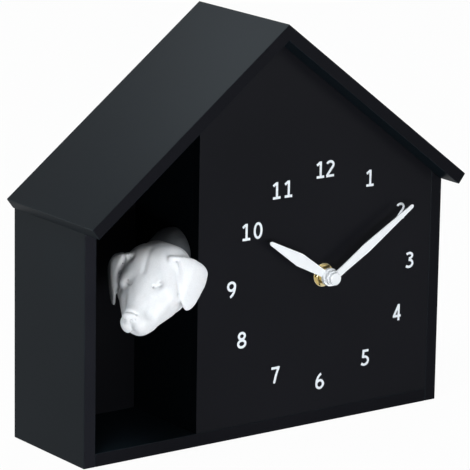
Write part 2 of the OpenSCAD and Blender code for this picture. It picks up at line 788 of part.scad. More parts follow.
module dog_head() {
    color("white") intersection() {
        union() {
            in_head_frame() {
                skull();
                face();
                muzzle();
                for (s = [-1, 1]) ear(s);
            }
            hull() {
                ball(head_p + neck_root, neck_r * 1.1);
                translate(neck_end) rotate([0, 90, 0])
                    cylinder(r = neck_r, h = 1, center = true, $fn = smooth);
            }
        }
        span([in_left, front_y - 80, wall_t], [neck_end_x, rear_y, ridge_h]);
    }
}

// Slide drive behind the divider
fit = 0.3;
arm_h = 9.4;
arm_w = 10;
arm_y = front_y + arm_depth;
slot_end = 0.6;
rod_in = 14;
carriage_end = 5;
rack_off = 2;
rack_play = 0.08;
shelf_gap = 0.6;
chassis_foot = 12;
chassis_head = 5;
chassis_edge = 4;
rod_x = div_right + rod_in;
rod_points = [[rod_x, arm_z - rod_gap / 2], [rod_x, arm_z + rod_gap / 2]];
carriage_x0 = rod_x - carriage_w / 2;
carriage_x1 = rod_x + carriage_w / 2;
carriage_half_h = rod_gap / 2 + carriage_end;
rack_h = 6;
rack_z = arm_z - carriage_half_h;
rack_root_x = carriage_x1 + rack_off;
rack_pitch_x = rack_root_x + rack_module * 1.15;
rack_y0 = dial_back + fit;
pinion_r = rack_module * pinion_teeth / 2;
pinion_p = [rack_pitch_x + pinion_r + rack_play, rack_y0 + rack_len - (rack_len - dog_travel) / 2];
shelf_top = rack_z - shelf_gap;
shelf_t = chassis_t;
chassis_y0 = dial_back + fit;
chassis_y1 = back_in - fit;
chassis_z0 = shelf_top - shelf_t - chassis_foot;
chassis_z1 = arm_z + carriage_half_h + chassis_head;
chassis_screw_points = [
    [chassis_y0 + chassis_edge, chassis_z0 + chassis_edge],
    [chassis_y1 - chassis_edge, chassis_z0 + chassis_edge],
    [chassis_y0 + chassis_edge * 2, chassis_z1 - chassis_edge],
    [chassis_y1 - chassis_edge * 2, chassis_z1 - chassis_edge]];
chassis_screw_in = 5;
module arm_slot() {
    span([div_left - 1, arm_y - arm_w / 2 - slot_end, arm_z - arm_h / 2 - slot_end],
        [div_right + chassis_t + 1, arm_y + arm_w / 2 + dog_travel + slot_end,
            arm_z + arm_h / 2 + slot_end]);
}
module dog_carriage() {
    color("#d9d9d6") difference() {
        union() {
            span([neck_end_x, arm_y - arm_w / 2, arm_z - arm_h / 2],
                [carriage_x0 + eps, arm_y + arm_w / 2, arm_z + arm_h / 2]);
            span([carriage_x0, arm_y - carriage_len / 2, arm_z - carriage_half_h],
                [carriage_x1, arm_y + carriage_len / 2, arm_z + carriage_half_h]);
            along_z(rack_z, rack_z + rack_h) rack_outline();
        }
        for (p = rod_points) bar_y(p, rod_r + play, dial_back, back_in);
    }
}
// A toothed bar whose gap faces the pinion's first tooth
module rack_outline() {
    pitch = PI * rack_module;
    tip_x = rack_pitch_x + rack_module * tooth_tip;
    intersection() {
        translate([carriage_x1 - eps, rack_y0]) square([tip_x - carriage_x1 + 1, rack_len]);
        polygon(concat([[carriage_x1 - eps, rack_y0 - 10], [carriage_x1 - eps, rack_y0 + rack_len + 10]],
            [for (i = [14:-1:-14]) for (q = [[0, 0.27], [1, 0.1], [1, -0.1], [0, -0.27]])
                [q[0] == 0 ? rack_root_x : tip_x, pinion_p[1] + (i + 0.5 + q[1]) * pitch]]));
    }
}
module drive_pinion() {
    color("#d9d9d6") difference() {
        along_z(rack_z + 0.5, rack_z + rack_h - 0.5) translate(pinion_p) rotate(180)
            gear_outline(rack_module, pinion_teeth);
        translate([pinion_p[0], pinion_p[1], rack_z - 1])
            cylinder(r = motor_shaft_r + seat, h = rack_h + 2, $fn = medium);
    }
}
motor_shaft_r = 1.5;
motor_top = shelf_top - shelf_t;
module motor_shaft() {
    color("silver") translate([pinion_p[0], pinion_p[1], motor_top - 4])
        cylinder(r = motor_shaft_r, h = rack_z + rack_h - 0.5 - motor_top + 4, $fn = medium);
}
module gear_motor() {
    gearbox_h = 9;
    color("#b9bcc0") difference() {
        union() {
            span([pinion_p[0] - motor_w / 2, pinion_p[1] - motor_d / 2, motor_top - gearbox_h],
                [pinion_p[0] + motor_w / 2, pinion_p[1] + motor_d / 2, motor_top]);
            along_z(motor_top - motor_len, motor_top - gearbox_h + eps) translate(pinion_p) intersection() {
                circle(motor_w / 2, $fn = fine);
                square([motor_w, motor_d], center = true);
            }
            translate([pinion_p[0], pinion_p[1], motor_top - motor_len - 1])
                cylinder(r = 2, h = 1 + eps, $fn = medium);
        }
        translate([pinion_p[0], pinion_p[1], motor_top - 4.3])
            cylinder(r = motor_shaft_r + play, h = 6, $fn = medium);
    }
}
module guide_rods() {
    color("silver") for (p = rod_points) bar_y(p, rod_r, chassis_y0, chassis_y1);
}
module drive_chassis() {
    end_x1 = carriage_x1 - 0.2;
    shelf_x1 = pinion_p[0] + motor_w / 2;
    color("#35373b") difference() {
        union() {
            span([div_right, chassis_y0, chassis_z0], [div_right + chassis_t, chassis_y1, chassis_z1]);
            for (y = [chassis_y0, chassis_y1 - chassis_t])
                span([div_right, y, shelf_top - shelf_t], [end_x1, y + chassis_t, chassis_z1]);
            span([div_right, pinion_p[1] - motor_d / 2 - 2, motor_top],
                [shelf_x1, pinion_p[1] + motor_d / 2 + 2, shelf_top]);
            along_y(pinion_p[1] + motor_d / 2 + 0.2, pinion_p[1] + motor_d / 2 + 2)
                polygon([
                    [div_right, chassis_z0], [div_right, motor_top + eps], [shelf_x1, motor_top + eps]]);
        }
        arm_slot();
        for (p = rod_points) bar_y(p, rod_r + seat, chassis_y0 - 1, chassis_y1 + 1);
        translate([pinion_p[0], pinion_p[1], motor_top - 1])
            cylinder(r = motor_shaft_r + 0.4, h = shelf_t + 2, $fn = medium);
        for (p = chassis_screw_points) translate([div_right - 1, p[0], p[1]]) rotate([0, 90, 0])
            cylinder(r = screw_r + play, h = chassis_t + 2, $fn = medium);
    }
}
module chassis_screws() {
    color("silver") for (p = chassis_screw_points) {
        translate([div_right - chassis_screw_in + 0.2, p[0], p[1]]) rotate([0, 90, 0])
            cylinder(r = screw_r - play, h = chassis_screw_in + chassis_t - 0.2 + eps, $fn = medium);
        translate([div_right + chassis_t, p[0], p[1]]) rotate([0, 90, 0])
            cylinder(r1 = screw_head_r * 0.9, r2 = screw_head_r * 0.6, h = 1.5, $fn = medium);
    }
}

// Battery box of the dog's drive, let into the back panel
box_wall = 1.5;
box_x0 = div_right + 4;
box_x1 = box_x0 + cell_r * 4 + box_wall * 2 + 2;
box_z0 = wall_t + 5;
box_z1 = box_z0 + cell_len + box_wall * 2 + 4;
box_y0 = back_out - cell_r * 2 - box_wall - 1.6;
flange_w = 2.2;
box_flange_t = 1;
door_t = 1.5;
hinge_r = 1.6;
hinge_pin_r = 0.6;
door_x0 = box_x0 + box_wall + 0.4;
door_x1 = box_x1 - box_wall - 0.4;
hinge_p = [back_out + box_flange_t + 0.9, box_z0 + box_wall + hinge_r + 0.6];
hinge_lug_w = 3;
module battery_box() {
    color("#202124") difference() {
        union() {
            span([box_x0, box_y0, box_z0], [box_x1, back_out + box_flange_t, box_z1]);
            span([box_x0 - flange_w, back_out, box_z0 - flange_w],
                [box_x1 + flange_w, back_out + box_flange_t, box_z1 + flange_w]);
            for (x = [box_x0, box_x1 - hinge_lug_w])
                hull() {
                    translate([x, hinge_p[0], hinge_p[1]]) rotate([0, 90, 0])
                        cylinder(r = hinge_r, h = hinge_lug_w, $fn = medium);
                    span([x, back_out - 1, box_z0], [x + hinge_lug_w, back_out, hinge_p[1] + hinge_r]);
                }
        }
        span([box_x0 + box_wall, box_y0 + box_wall, hinge_p[1] + hinge_r + 0.2],
            [box_x1 - box_wall, back_out + 5, box_z1 - box_wall]);
        span([box_x0 + hinge_lug_w, back_out - 1.5, box_z0 + box_wall],
            [box_x1 - hinge_lug_w, back_out + 5, hinge_p[1] + hinge_r + 0.3]);
        span([box_x0 + box_wall, box_y0 + box_wall, box_z0 + box_wall],
            [box_x1 - box_wall, back_out - 1, box_z1 - box_wall]);
        translate([box_x0 + 0.8, hinge_p[0], hinge_p[1]]) rotate([0, 90, 0])
            cylinder(r = hinge_pin_r + seat, h = box_x1 - box_x0 - 1.6, $fn = medium);
    }
}
cell_z0 = box_z0 + box_wall + 2;
cell_y = box_y0 + box_wall + 0.3 + cell_r;
cell_xs = [box_x0 + box_wall + 0.5 + cell_r, box_x1 - box_wall - 0.5 - cell_r];
module dog_cells() {
    color("#3a6ea5") for (i = [0, 1])
        translate([cell_xs[i], cell_y, cell_z0 + (i == 0 ? 0 : cell_len)]) rotate([0, i == 0 ? -90 : 90, 0])
            cell(0);
}
contact_half = [4, 3];
module cell_contacts() {
    y0 = cell_y - contact_half[1];
    y1 = cell_y + contact_half[1];
    color("silver") {
        span([cell_xs[0] - contact_half[0], y0, box_z0 + box_wall],
            [cell_xs[1] + contact_half[0], y1, cell_z0]);
        for (x = cell_xs)
            span([x - contact_half[0], y0, cell_z0 + cell_len],
                [x + contact_half[0], y1, box_z1 - box_wall]);
    }
}
module battery_door() {
    door_y0 = hinge_p[0] - door_t / 2;
    barrel_x0 = box_x0 + hinge_lug_w + 0.3;
    barrel_x1 = box_x1 - hinge_lug_w - 0.3;
    door_top = box_z1 - box_wall - 0.4;
    color("#202124") difference() {
        union() {
            span([door_x0, door_y0, hinge_p[1] + hinge_r + 0.4], [door_x1, door_y0 + door_t, door_top]);
            span([barrel_x0, door_y0, hinge_p[1]],
                [barrel_x1, door_y0 + door_t, hinge_p[1] + hinge_r + 0.5]);
            translate([barrel_x0, hinge_p[0], hinge_p[1]]) rotate([0, 90, 0])
                cylinder(r = hinge_r - 0.1, h = barrel_x1 - barrel_x0, $fn = medium);
            for (i = [0:4])
                span([(door_x0 + door_x1) / 2 - 6, door_y0 + door_t - eps, door_top - 4 - i * 1.6],
                    [(door_x0 + door_x1) / 2 + 6, door_y0 + door_t + 0.4, door_top - 3.2 - i * 1.6]);
        }
        translate([barrel_x0 - 1, hinge_p[0], hinge_p[1]]) rotate([0, 90, 0])
            cylinder(r = hinge_pin_r + play, h = barrel_x1 - barrel_x0 + 2, $fn = medium);
    }
}
module door_pins() {
    color("silver") translate([box_x0 + 1, hinge_p[0], hinge_p[1]]) rotate([0, 90, 0])
        cylinder(r = hinge_pin_r, h = box_x1 - box_x0 - 2, $fn = medium);
}

// Opening behind the movement
service_gap = 4;
service_x0 = dial_p[0] - half_case - service_gap;
service_x1 = dial_p[0] + half_case + service_gap;
service_z0 = dial_p[1] - half_case - service_gap;
service_z1 = dial_p[1] + half_case + service_gap;

// Loudspeaker behind its holes
speaker_p = [dial_p[0] - 14, service_z1 + speaker_r + 6];
grille_hole_r = 1.3;
grille_step = 5.2;
grille_points = [for (ring = [0:3]) for (i = [0:max(ring * 6 - 1, 0)])
    polar(speaker_p, ring == 0 ? 0 : i * 60 / ring, ring * grille_step * 0.87)];
module speaker() {
    color("#4a4a4c") difference() {
        union() {
            bar_y(speaker_p, speaker_r, back_in - 2, back_in);
            translate([speaker_p[0], back_in - speaker_d + 4, speaker_p[1]]) rotate([-90, 0, 0])
                cylinder(r1 = speaker_r * 0.55, r2 = speaker_r * 0.93, h = speaker_d - 6 + eps, $fn = fine);
            bar_y(speaker_p, speaker_r * 0.5, back_in - speaker_d, back_in - speaker_d + 4 + eps);
        }
        translate([speaker_p[0], back_in - 4.5, speaker_p[1]]) rotate([-90, 0, 0])
            cylinder(r1 = speaker_r * 0.3, r2 = speaker_r * 0.82, h = 4.5 + eps, $fn = fine);
    }
}

// Sound board on four pillars, with its button and switch
board_side_gap = 1.4;
board_x0 = in_right - board_side_gap - board_w;
board_z0 = wall_t + block_side + 4;
board_gap = 5;
board_t = 1.6;
board_y0 = back_in - board_gap - board_t;
pillar_r = 2.4;
pillar_in = 3.5;
board_holes = [for (x = [pillar_in, board_w - pillar_in]) for (z = [pillar_in, board_h - pillar_in])
    [board_x0 + x, board_z0 + z]];
button_play = 0.3;
tact_half = 3.2;
tact_h = 2.2;
button_in = 10;
switch_in = 26;
controls_up = 30;
chip_in = [10, 9];
chip_size = [14, 8];
chip_t = 2;
plug_in = [9, 29];
plug_size = [10, 8];
plug_t = 7;
capacitor_xs = [29, 33.5];
capacitor_up = 22;
capacitor_r = 2;
capacitor_h = 6;
button_p = [board_x0 + button_in, board_z0 + controls_up];
switch_p = [board_x0 + switch_in, board_z0 + controls_up];
switch_w = 10;
switch_h = 5;
slider_w = 2.4;
slider_h = 2.4;
switch_slot_w = switch_travel + slider_w + 0.8;
switch_slot_h = slider_h + 0.8;
board_rear = board_y0 + board_t;
module sound_board() {
    color("#1f6a3a") difference() {
        span([board_x0, board_y0, board_z0], [board_x0 + board_w, board_rear, board_z0 + board_h]);
        for (p = board_holes) bar_y(p, 1.2, board_y0 - 1, board_rear + 1, medium);
    }
}
module board_pillars() {
    color("#d0d0d0") for (p = board_holes) {
        bar_y(p, pillar_r, board_rear, back_in, medium);
        bar_y(p, 1.1, board_y0 - eps, board_rear + eps, medium);
        bar_y(p, 2, board_y0 - 1.4, board_y0, medium);
    }
}
module board_parts() {
    color("#151515") {
        along_y(board_y0 - chip_t, board_y0) translate([board_x0, board_z0] + chip_in) square(chip_size);
        along_y(board_y0 - plug_t, board_y0) translate([board_x0, board_z0] + plug_in) square(plug_size);
        for (x = capacitor_xs)
            bar_y([board_x0 + x, board_z0 + capacitor_up], capacitor_r,
                board_y0 - capacitor_h, board_y0, medium);
        span([button_p[0] - tact_half, board_rear, button_p[1] - tact_half],
            [button_p[0] + tact_half, board_rear + tact_h, button_p[1] + tact_half]);
    }
}
button_out = 1.6;
module test_button() {
    stop_r = button_r + 0.9;
    foot_y = board_rear + tact_h + button_travel + 0.1;
    color("#9a1f1f") {
        bar_y(button_p, button_r, foot_y, back_out + button_out);
        bar_y(button_p, stop_r, foot_y, back_in - 0.1);
    }
}
module switch_body() {
    wall = 1;
    color("#8a8d90") difference() {
        span([switch_p[0] - switch_w / 2, board_rear, switch_p[1] - switch_h / 2],
            [switch_p[0] + switch_w / 2, back_in - 0.2, switch_p[1] + switch_h / 2]);
        span([switch_p[0] - switch_w / 2 + wall, board_rear + wall, switch_p[1] - switch_h / 2 + wall],
            [switch_p[0] + switch_w / 2 - wall, back_in + 1, switch_p[1] + switch_h / 2 - wall]);
    }
}
module switch_slider() {
    x0 = switch_p[0] - switch_travel / 2 - slider_w / 2;
    color("#e8e8e8") {
        span([x0, board_rear + 1.2, switch_p[1] - slider_h / 2],
            [x0 + slider_w, back_out - 0.6, switch_p[1] + slider_h / 2]);
    }
}

// Insulated leads clipped along the inside of the back panel and the floor
lead_r = 0.7;
module lead(points) {
    for (i = [0:len(points) - 2]) hull() {
        translate(points[i]) sphere(lead_r, $fn = 8);
        translate(points[i + 1]) sphere(lead_r, $fn = 8);
    }
}
module lead_wires() {
    lead_y = back_in - lead_r - 0.1;
    board_y = board_y0 - lead_r;
    lane_z = wall_t + lead_r + 0.1;
    lane_top = service_z1 + 2.5;
    color("#b01818") lead([
        [box_x1 + lead_r, box_y0 + 6, box_z0 + 10], [box_x1 + 4, box_y0 + 5, lane_z + 3],
        [board_x0 - 4, box_y0 + 5, lane_z], [board_x0 + 12, board_y, board_z0 + 5]]);
    color("#222222") lead([
        [speaker_p[0] + speaker_r * 0.5 + lead_r, back_in - speaker_d + 2, speaker_p[1]],
        [speaker_p[0] + speaker_r + 4, lead_y - 6, speaker_p[1] - 6],
        [board_x0 + 4, lead_y - 6, lane_top], [board_x0 + 12, board_y, board_z0 + board_h - 2]]);
}

left_wall();
right_wall();
floor_board();
divider_wall();
dial_panel();
back_panel();
roof_left();
roof_right();
glue_blocks();
back_screws();
dial_numerals();
hour_hand();
minute_hand();
hand_cap();
fixing_nut();
brass_washer();
threaded_bush();
rubber_gasket();
movement_plate();
movement_case();
hour_wheel();
minute_arbor();
motion_wheel();
centre_wheel();
third_wheel();
fourth_wheel();
fifth_wheel();
rotor();
stator();
drive_coil();
clock_board();
clock_contacts();
clock_cell();
setting_knob();
dog_head();
dog_carriage();
guide_rods();
drive_chassis();
chassis_screws();
drive_pinion();
motor_shaft();
gear_motor();
battery_box();
dog_cells();
cell_contacts();
battery_door();
door_pins();
speaker();
sound_board();
board_parts();
board_pillars();
test_button();
switch_body();
switch_slider();
lead_wires();
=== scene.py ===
# A small black house with a clock on its front and a white dog that looks out of its kennel
import json
import math

import bmesh
import bpy
import numpy as np
from mathutils import Matrix, Vector


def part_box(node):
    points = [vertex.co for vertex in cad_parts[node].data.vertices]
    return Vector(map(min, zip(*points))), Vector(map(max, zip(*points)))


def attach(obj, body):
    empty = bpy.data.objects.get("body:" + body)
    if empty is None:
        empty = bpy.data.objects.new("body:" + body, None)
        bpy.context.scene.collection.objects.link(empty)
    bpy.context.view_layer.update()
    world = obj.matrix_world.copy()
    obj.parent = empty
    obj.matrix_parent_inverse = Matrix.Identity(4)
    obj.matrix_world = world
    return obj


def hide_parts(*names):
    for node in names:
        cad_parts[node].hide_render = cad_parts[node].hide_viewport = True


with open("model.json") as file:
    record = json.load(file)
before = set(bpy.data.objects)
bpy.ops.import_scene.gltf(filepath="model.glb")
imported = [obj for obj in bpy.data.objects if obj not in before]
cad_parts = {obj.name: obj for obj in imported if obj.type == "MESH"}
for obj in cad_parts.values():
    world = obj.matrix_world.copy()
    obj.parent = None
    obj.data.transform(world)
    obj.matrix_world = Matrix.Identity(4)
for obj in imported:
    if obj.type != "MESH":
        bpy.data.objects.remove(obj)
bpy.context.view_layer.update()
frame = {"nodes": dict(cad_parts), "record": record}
scene = bpy.context.scene
mm = 0.001
slotOf = {row["node"]: row["material_slot"] for row in frame["record"]["subparts"]}
bodyOf = {node: body for body, nodes in frame["record"]["behaviour"]["bodies"].items() for node in nodes}
print("frame loaded:", len(frame["nodes"]), "nodes")


# Shader maths: a wire is one socket, and sums of wires add their Math nodes
class Wire:
    def __init__(self, nodes, socket):
        self.nodes = nodes
        self.socket = socket

    def __add__(self, other):
        return self.nodes.maths("ADD", self, other)

    def __radd__(self, other):
        return self.nodes.maths("ADD", other, self)

    def __sub__(self, other):
        return self.nodes.maths("SUBTRACT", self, other)

    def __rsub__(self, other):
        return self.nodes.maths("SUBTRACT", other, self)

    def __mul__(self, other):
        return self.nodes.maths("MULTIPLY", self, other)

    def __rmul__(self, other):
        return self.nodes.maths("MULTIPLY", other, self)


# One node tree, a finish's or the sky's
class Nodes:
    def __init__(self, tree):
        self.tree = tree

    def feed(self, made, label, value):
        if isinstance(value, Wire):
            self.tree.links.new(value.socket, made.inputs[label])
        else:
            made.inputs[label].default_value = value

    def node(self, kind, settings=None, inputs=None, output=0):
        made = self.tree.nodes.new(kind)
        for label, value in (settings or {}).items():
            if label == "stops":
                self.setStops(made.color_ramp, value)
            else:
                setattr(made, label, value)
        for label, value in (inputs or {}).items():
            self.feed(made, label, value)
        return Wire(self, made.outputs[output])

    def setStops(self, ramp, stops):
        while len(ramp.elements) < len(stops):
            ramp.elements.new(1.0)
        for element, (place, level) in zip(ramp.elements, stops):
            element.position = place
            element.color = (level, level, level, 1)

    def maths(self, operation, first, second=0.0):
        return self.node("ShaderNodeMath", {"operation": operation}, {0: first, 1: second})

    def ramp(self, value, stops):
        return self.node("ShaderNodeValToRGB", {"stops": stops}, {"Fac": value})

    def mixed(self, mask, first, second):
        first, second = ((*c, 1) if isinstance(c, tuple) else c for c in (first, second))
        return self.node("ShaderNodeMix", {"data_type": "RGBA"}, {"Factor": mask, 6: first, 7: second},
                         output=2)  # sockets 6, 7 and 2 are the ones for colours

    def place(self, stretch=(1, 1, 1), centre=(0, 0, 0)):
        where = self.node("ShaderNodeTexCoord", output="Object")
        moved = self.node("ShaderNodeVectorMath", {"operation": "SUBTRACT"}, {0: where, 1: centre})
        return self.node("ShaderNodeMapping", {}, {"Vector": moved, "Scale": stretch})

    def noise(self, scale, detail=2.0, stretch=(1, 1, 1), distortion=0.0):
        return self.node("ShaderNodeTexNoise", {}, {
            "Vector": self.place(stretch), "Scale": scale, "Detail": detail, "Distortion": distortion})

    # 1 where the camera sees the surface, itself or in gloss or through glass
    def seenDirectly(self):
        rays = self.node("ShaderNodeLightPath").socket.node.outputs
        camera, glossy, clear = (Wire(self, rays[f"Is {kind} Ray"])
                                 for kind in ("Camera", "Glossy", "Transmission"))
        return self.maths("MAXIMUM", self.maths("MAXIMUM", camera, glossy), clear)

    def show(self, wire):
        end = next(n for n in self.tree.nodes if n.bl_idname.startswith("ShaderNodeOutput"))
        self.feed(end, "Surface", wire)


class Finish(Nodes):
    def __init__(self, name, shaderValues=None):
        self.material = bpy.data.materials.new(name)
        self.material.use_nodes = True
        super().__init__(self.material.node_tree)
        self.shader = next(n for n in self.tree.nodes if n.type == "BSDF_PRINCIPLED")
        for label, value in (shaderValues or {}).items():
            self.give(label, value)

    def give(self, label, value):
        self.feed(self.shader, label, value)

    def relief(self, height, depth):  # depth in mm
        self.give("Normal", self.node("ShaderNodeBump", {}, {"Height": height, "Distance": depth * mm}))


# Lacquered boards: sides and slopes have some gloss, and what faces the front or the back has its own.
# The painted-light shares are painted light and shade: they make a board paler or darker on what faces the
# front, the side and the rear, and the side hue paints a bluish sheen on the sides.
lacquer = {
    "dark": (0.0062, 0.0065, 0.0084), "light": (0.0083, 0.0086, 0.0111), "sidePaintedSheenHue": (1.0, 1.5, 1.55),
    "frontShare": 1.0, "sideShare": 1.0, "rearShare": 1.0,
    "gloss": 0.2, "frontGloss": 0.03, "coatRough": 0.3,
    "endOn": [(0.7, 0), (0.95, 1)], "rearward": [(0.4, 0), (0.6, 1)], "patches": [(0.3, 0), (0.7, 1)],
    "cloud": 9, "grain": 1500, "wave": 180, "rough": 0.5, "roughSpread": 0.1, "depth": 0.012,
}


def makeLacquer(name, **changes):
    values = {**lacquer, **changes}
    finish = Finish(name, {"Specular IOR Level": 0.0, "Coat Roughness": values["coatRough"]})
    normal = finish.node("ShaderNodeNewGeometry", output="Normal")
    facing = finish.node("ShaderNodeSeparateXYZ", {}, {0: normal}, output="Y")
    endOn = finish.ramp(finish.maths("ABSOLUTE", facing), values["endOn"])
    rearward = finish.ramp(facing, values["rearward"])
    gloss, frontGloss = values["gloss"], values["frontGloss"]
    finish.give("Coat Weight", (1 - endOn) * (gloss - frontGloss) + frontGloss)
    cloud = finish.noise(values["cloud"], 3)
    speck = finish.noise(values["grain"], 2)
    wave = finish.noise(values["wave"], 2)
    patches = finish.ramp(cloud * 0.7 + speck * 0.3, values["patches"])

    def tone(share, hue=(1, 1, 1)):
        dark, light = (tuple(c * h * share for c, h in zip(values[k], hue)) for k in ("dark", "light"))
        return finish.mixed(patches, dark, light)

    # painted light and shade by facing: each facing gets its own painted-light share, and the sides a
    # painted bluish sheen hue
    side = tone(values["sideShare"], values["sidePaintedSheenHue"])
    turned = finish.mixed(endOn, side, tone(values["frontShare"]))
    finish.give("Base Color", finish.mixed(rearward, turned, tone(values["rearShare"])))
    spread = values["roughSpread"]
    finish.give("Roughness", wave * spread + (speck * spread + (values["rough"] - spread / 2)))
    finish.relief(speck * 0.6 + wave * 1.4, values["depth"])
    return finish.material


# Plain finishes: what all plastics share, paints and prints too, and what all metals share
plastic = {"cloud": 40, "roughSpread": 0.16}
metal = {"cloud": 60, "lineSpread": 0.2, "cloudSpread": 0.1}


def darkerAndPaler(colour, vary):
    return tuple(c * (1 - vary) for c in colour), tuple(min(1, c * (1 + vary)) for c in colour)


def makePlastic(name, colour, rough, grain, depth, vary, shaderValues=None):
    finish = Finish(name, shaderValues)
    speck = finish.noise(grain, 2)
    cloud = finish.noise(plastic["cloud"], 3)
    finish.give("Base Color", finish.mixed(cloud * 0.7 + speck * 0.3, *darkerAndPaler(colour, vary)))
    finish.give("Roughness", speck * plastic["roughSpread"] + (rough - plastic["roughSpread"] / 2))
    finish.relief(speck, depth)
    return finish.material


def makeMetal(name, colour, rough, stretch=(1, 1, 1), grain=700, depth=0.006, vary=0.15):
    finish = Finish(name, {"Metallic": 1.0})
    lines = finish.noise(grain, 3, stretch)
    cloud = finish.noise(metal["cloud"], 3)
    finish.give("Base Color", finish.mixed(cloud, *darkerAndPaler(colour, vary)))
    lowest = rough - (metal["lineSpread"] + metal["cloudSpread"]) / 2
    finish.give("Roughness", lines * metal["lineSpread"] + cloud * metal["cloudSpread"] + lowest)
    finish.relief(lines, depth)
    return finish.material


# Cast resin of the dog: white, with painted shade greying its creases, and grey on the neck that is partly
# grey paint and partly painted shade, with a painted shadow darkening it inwards from its raised line
resin = {
    "shade": (0.72, 0.73, 0.75), "white": (0.82, 0.83, 0.85), "patches": [(0.3, 0), (0.62, 1)],
    # painted shade for creases: the grey they turn to, and where it starts
    "creaseShadeColour": (0.25, 0.26, 0.29), "paintedCreaseShade": [(0.4, 1), (0.49, 0)],
    # the neck's grey is partly grey paint and partly painted shade, and its darkening inwards is a painted
    # shadow
    "neckGreyAndShade": (0.17, 0.185, 0.2), "neckShadowDark": (0.02, 0.022, 0.025),
    "neckFrom": (-0.0665, -0.0335, 0.112), "neckAlong": (0.86, 0.45, 0.1),
    "neckShadowFade": 40, "neckEdge": 900, "edgeSetBack": 0.3,  # how fast the neck darkens, to the metre
    "cloud": 70, "pits": 1300, "brushed": 320, "rough": 0.5, "roughSpread": 0.16, "depth": 0.03,
    "under": 0.08, "underDepth": 0.003, "underTint": (1.0, 0.8, 0.7),  # the light that passes under the skin
}


def makeResin():
    finish = Finish("castResin", {
        "Subsurface Weight": resin["under"], "Subsurface Scale": resin["underDepth"],
        "Subsurface Radius": resin["underTint"]})
    cloud = finish.noise(resin["cloud"], 4)
    pits = finish.noise(resin["pits"], 2)
    brushed = finish.noise(resin["brushed"], 3)
    patches = finish.ramp(cloud * 0.6 + pits * 0.4, resin["patches"])
    # painted shade: the white turns grey in concave creases, where shade would fall
    paintedCreaseShade = finish.ramp(finish.node("ShaderNodeNewGeometry", output="Pointiness"), resin["paintedCreaseShade"])
    white = finish.mixed(paintedCreaseShade, finish.mixed(patches, resin["shade"], resin["white"]), resin["creaseShadeColour"])
    behind = finish.node("ShaderNodeVectorMath", {"operation": "DOT_PRODUCT"}, {
        0: finish.place(centre=resin["neckFrom"]), 1: resin["neckAlong"]}, output="Value")
    # painted shadow: the neck darkens towards its far end, as in the panel's shadow
    paintedNeckShadow = finish.ramp(behind * resin["neckShadowFade"], [(0, 0), (1, 1)])
    edge = finish.ramp(behind * resin["neckEdge"] - resin["edgeSetBack"], [(0, 0), (1, 1)])
    neckPaintAndShadow = finish.mixed(paintedNeckShadow, resin["neckGreyAndShade"], resin["neckShadowDark"])
    finish.give("Base Color", finish.mixed(edge, white, neckPaintAndShadow))
    finish.give("Roughness", pits * resin["roughSpread"] + (resin["rough"] - resin["roughSpread"] / 2))
    finish.relief(pits * 0.5 + brushed, resin["depth"])
    return finish.material


pine = {"pale": (0.62, 0.42, 0.22), "dark": (0.42, 0.25, 0.11), "rings": 160, "ringStretch": (1, 0.08, 1),
        "ringBend": 0.6, "growth": [(0.35, 0), (0.65, 1)], "pores": 1800, "poreStretch": (1, 0.05, 1),
        "rough": 0.5, "roughSpread": 0.2, "depth": 0.08}


def makePine():
    finish = Finish("pine")
    rings = finish.noise(pine["rings"], 4, pine["ringStretch"], pine["ringBend"])
    pores = finish.noise(pine["pores"], 2, pine["poreStretch"])
    growth = finish.ramp(rings, pine["growth"])
    finish.give("Base Color", finish.mixed(growth, pine["pale"], pine["dark"]))
    finish.give("Roughness", pores * pine["roughSpread"] + pine["rough"])
    finish.relief(pores * 0.4 + rings, pine["depth"])
    return finish.material


solderMask = {"dark": (0.012, 0.11, 0.045), "light": (0.03, 0.24, 0.1), "tracks": 240.0, "gap": 0.03,
              "cloud": 90, "coat": 0.4, "rough": 0.25, "roughSpread": 0.15, "depth": 0.03}


def makeSolderMask():
    finish = Finish("solderMask", {"Coat Weight": solderMask["coat"]})
    tracks = finish.node("ShaderNodeTexBrick", {"offset": 0.5}, {
        "Vector": finish.place(), "Scale": solderMask["tracks"], "Mortar Size": solderMask["gap"],
        "Color1": (0, 0, 0, 1), "Color2": (0.2, 0.2, 0.2, 1), "Mortar": (1, 1, 1, 1)})
    cloud = finish.noise(solderMask["cloud"], 2)
    shine = tracks * 0.6 + cloud * 0.2
    finish.give("Base Color", finish.mixed(shine, solderMask["dark"], solderMask["light"]))
    finish.give("Roughness", cloud * solderMask["roughSpread"] + solderMask["rough"])
    finish.relief(tracks, solderMask["depth"])
    return finish.material


sleeve = {"dark": (0.04, 0.12, 0.3), "light": (0.06, 0.17, 0.38), "grain": 300, "stretch": (0.2, 1, 1),
          "bands": [(0.35, 0), (0.65, 1)], "metallic": 0.3, "rough": 0.25, "roughSpread": 0.1, "depth": 0.01}


def makeSleeve():
    finish = Finish("cellSleeve", {"Metallic": sleeve["metallic"]})
    soft = finish.noise(sleeve["grain"], 2, sleeve["stretch"])
    bands = finish.ramp(soft, sleeve["bands"])
    finish.give("Base Color", finish.mixed(bands, sleeve["dark"], sleeve["light"]))
    finish.give("Roughness", soft * sleeve["roughSpread"] + sleeve["rough"])
    finish.relief(soft, sleeve["depth"])
    return finish.material


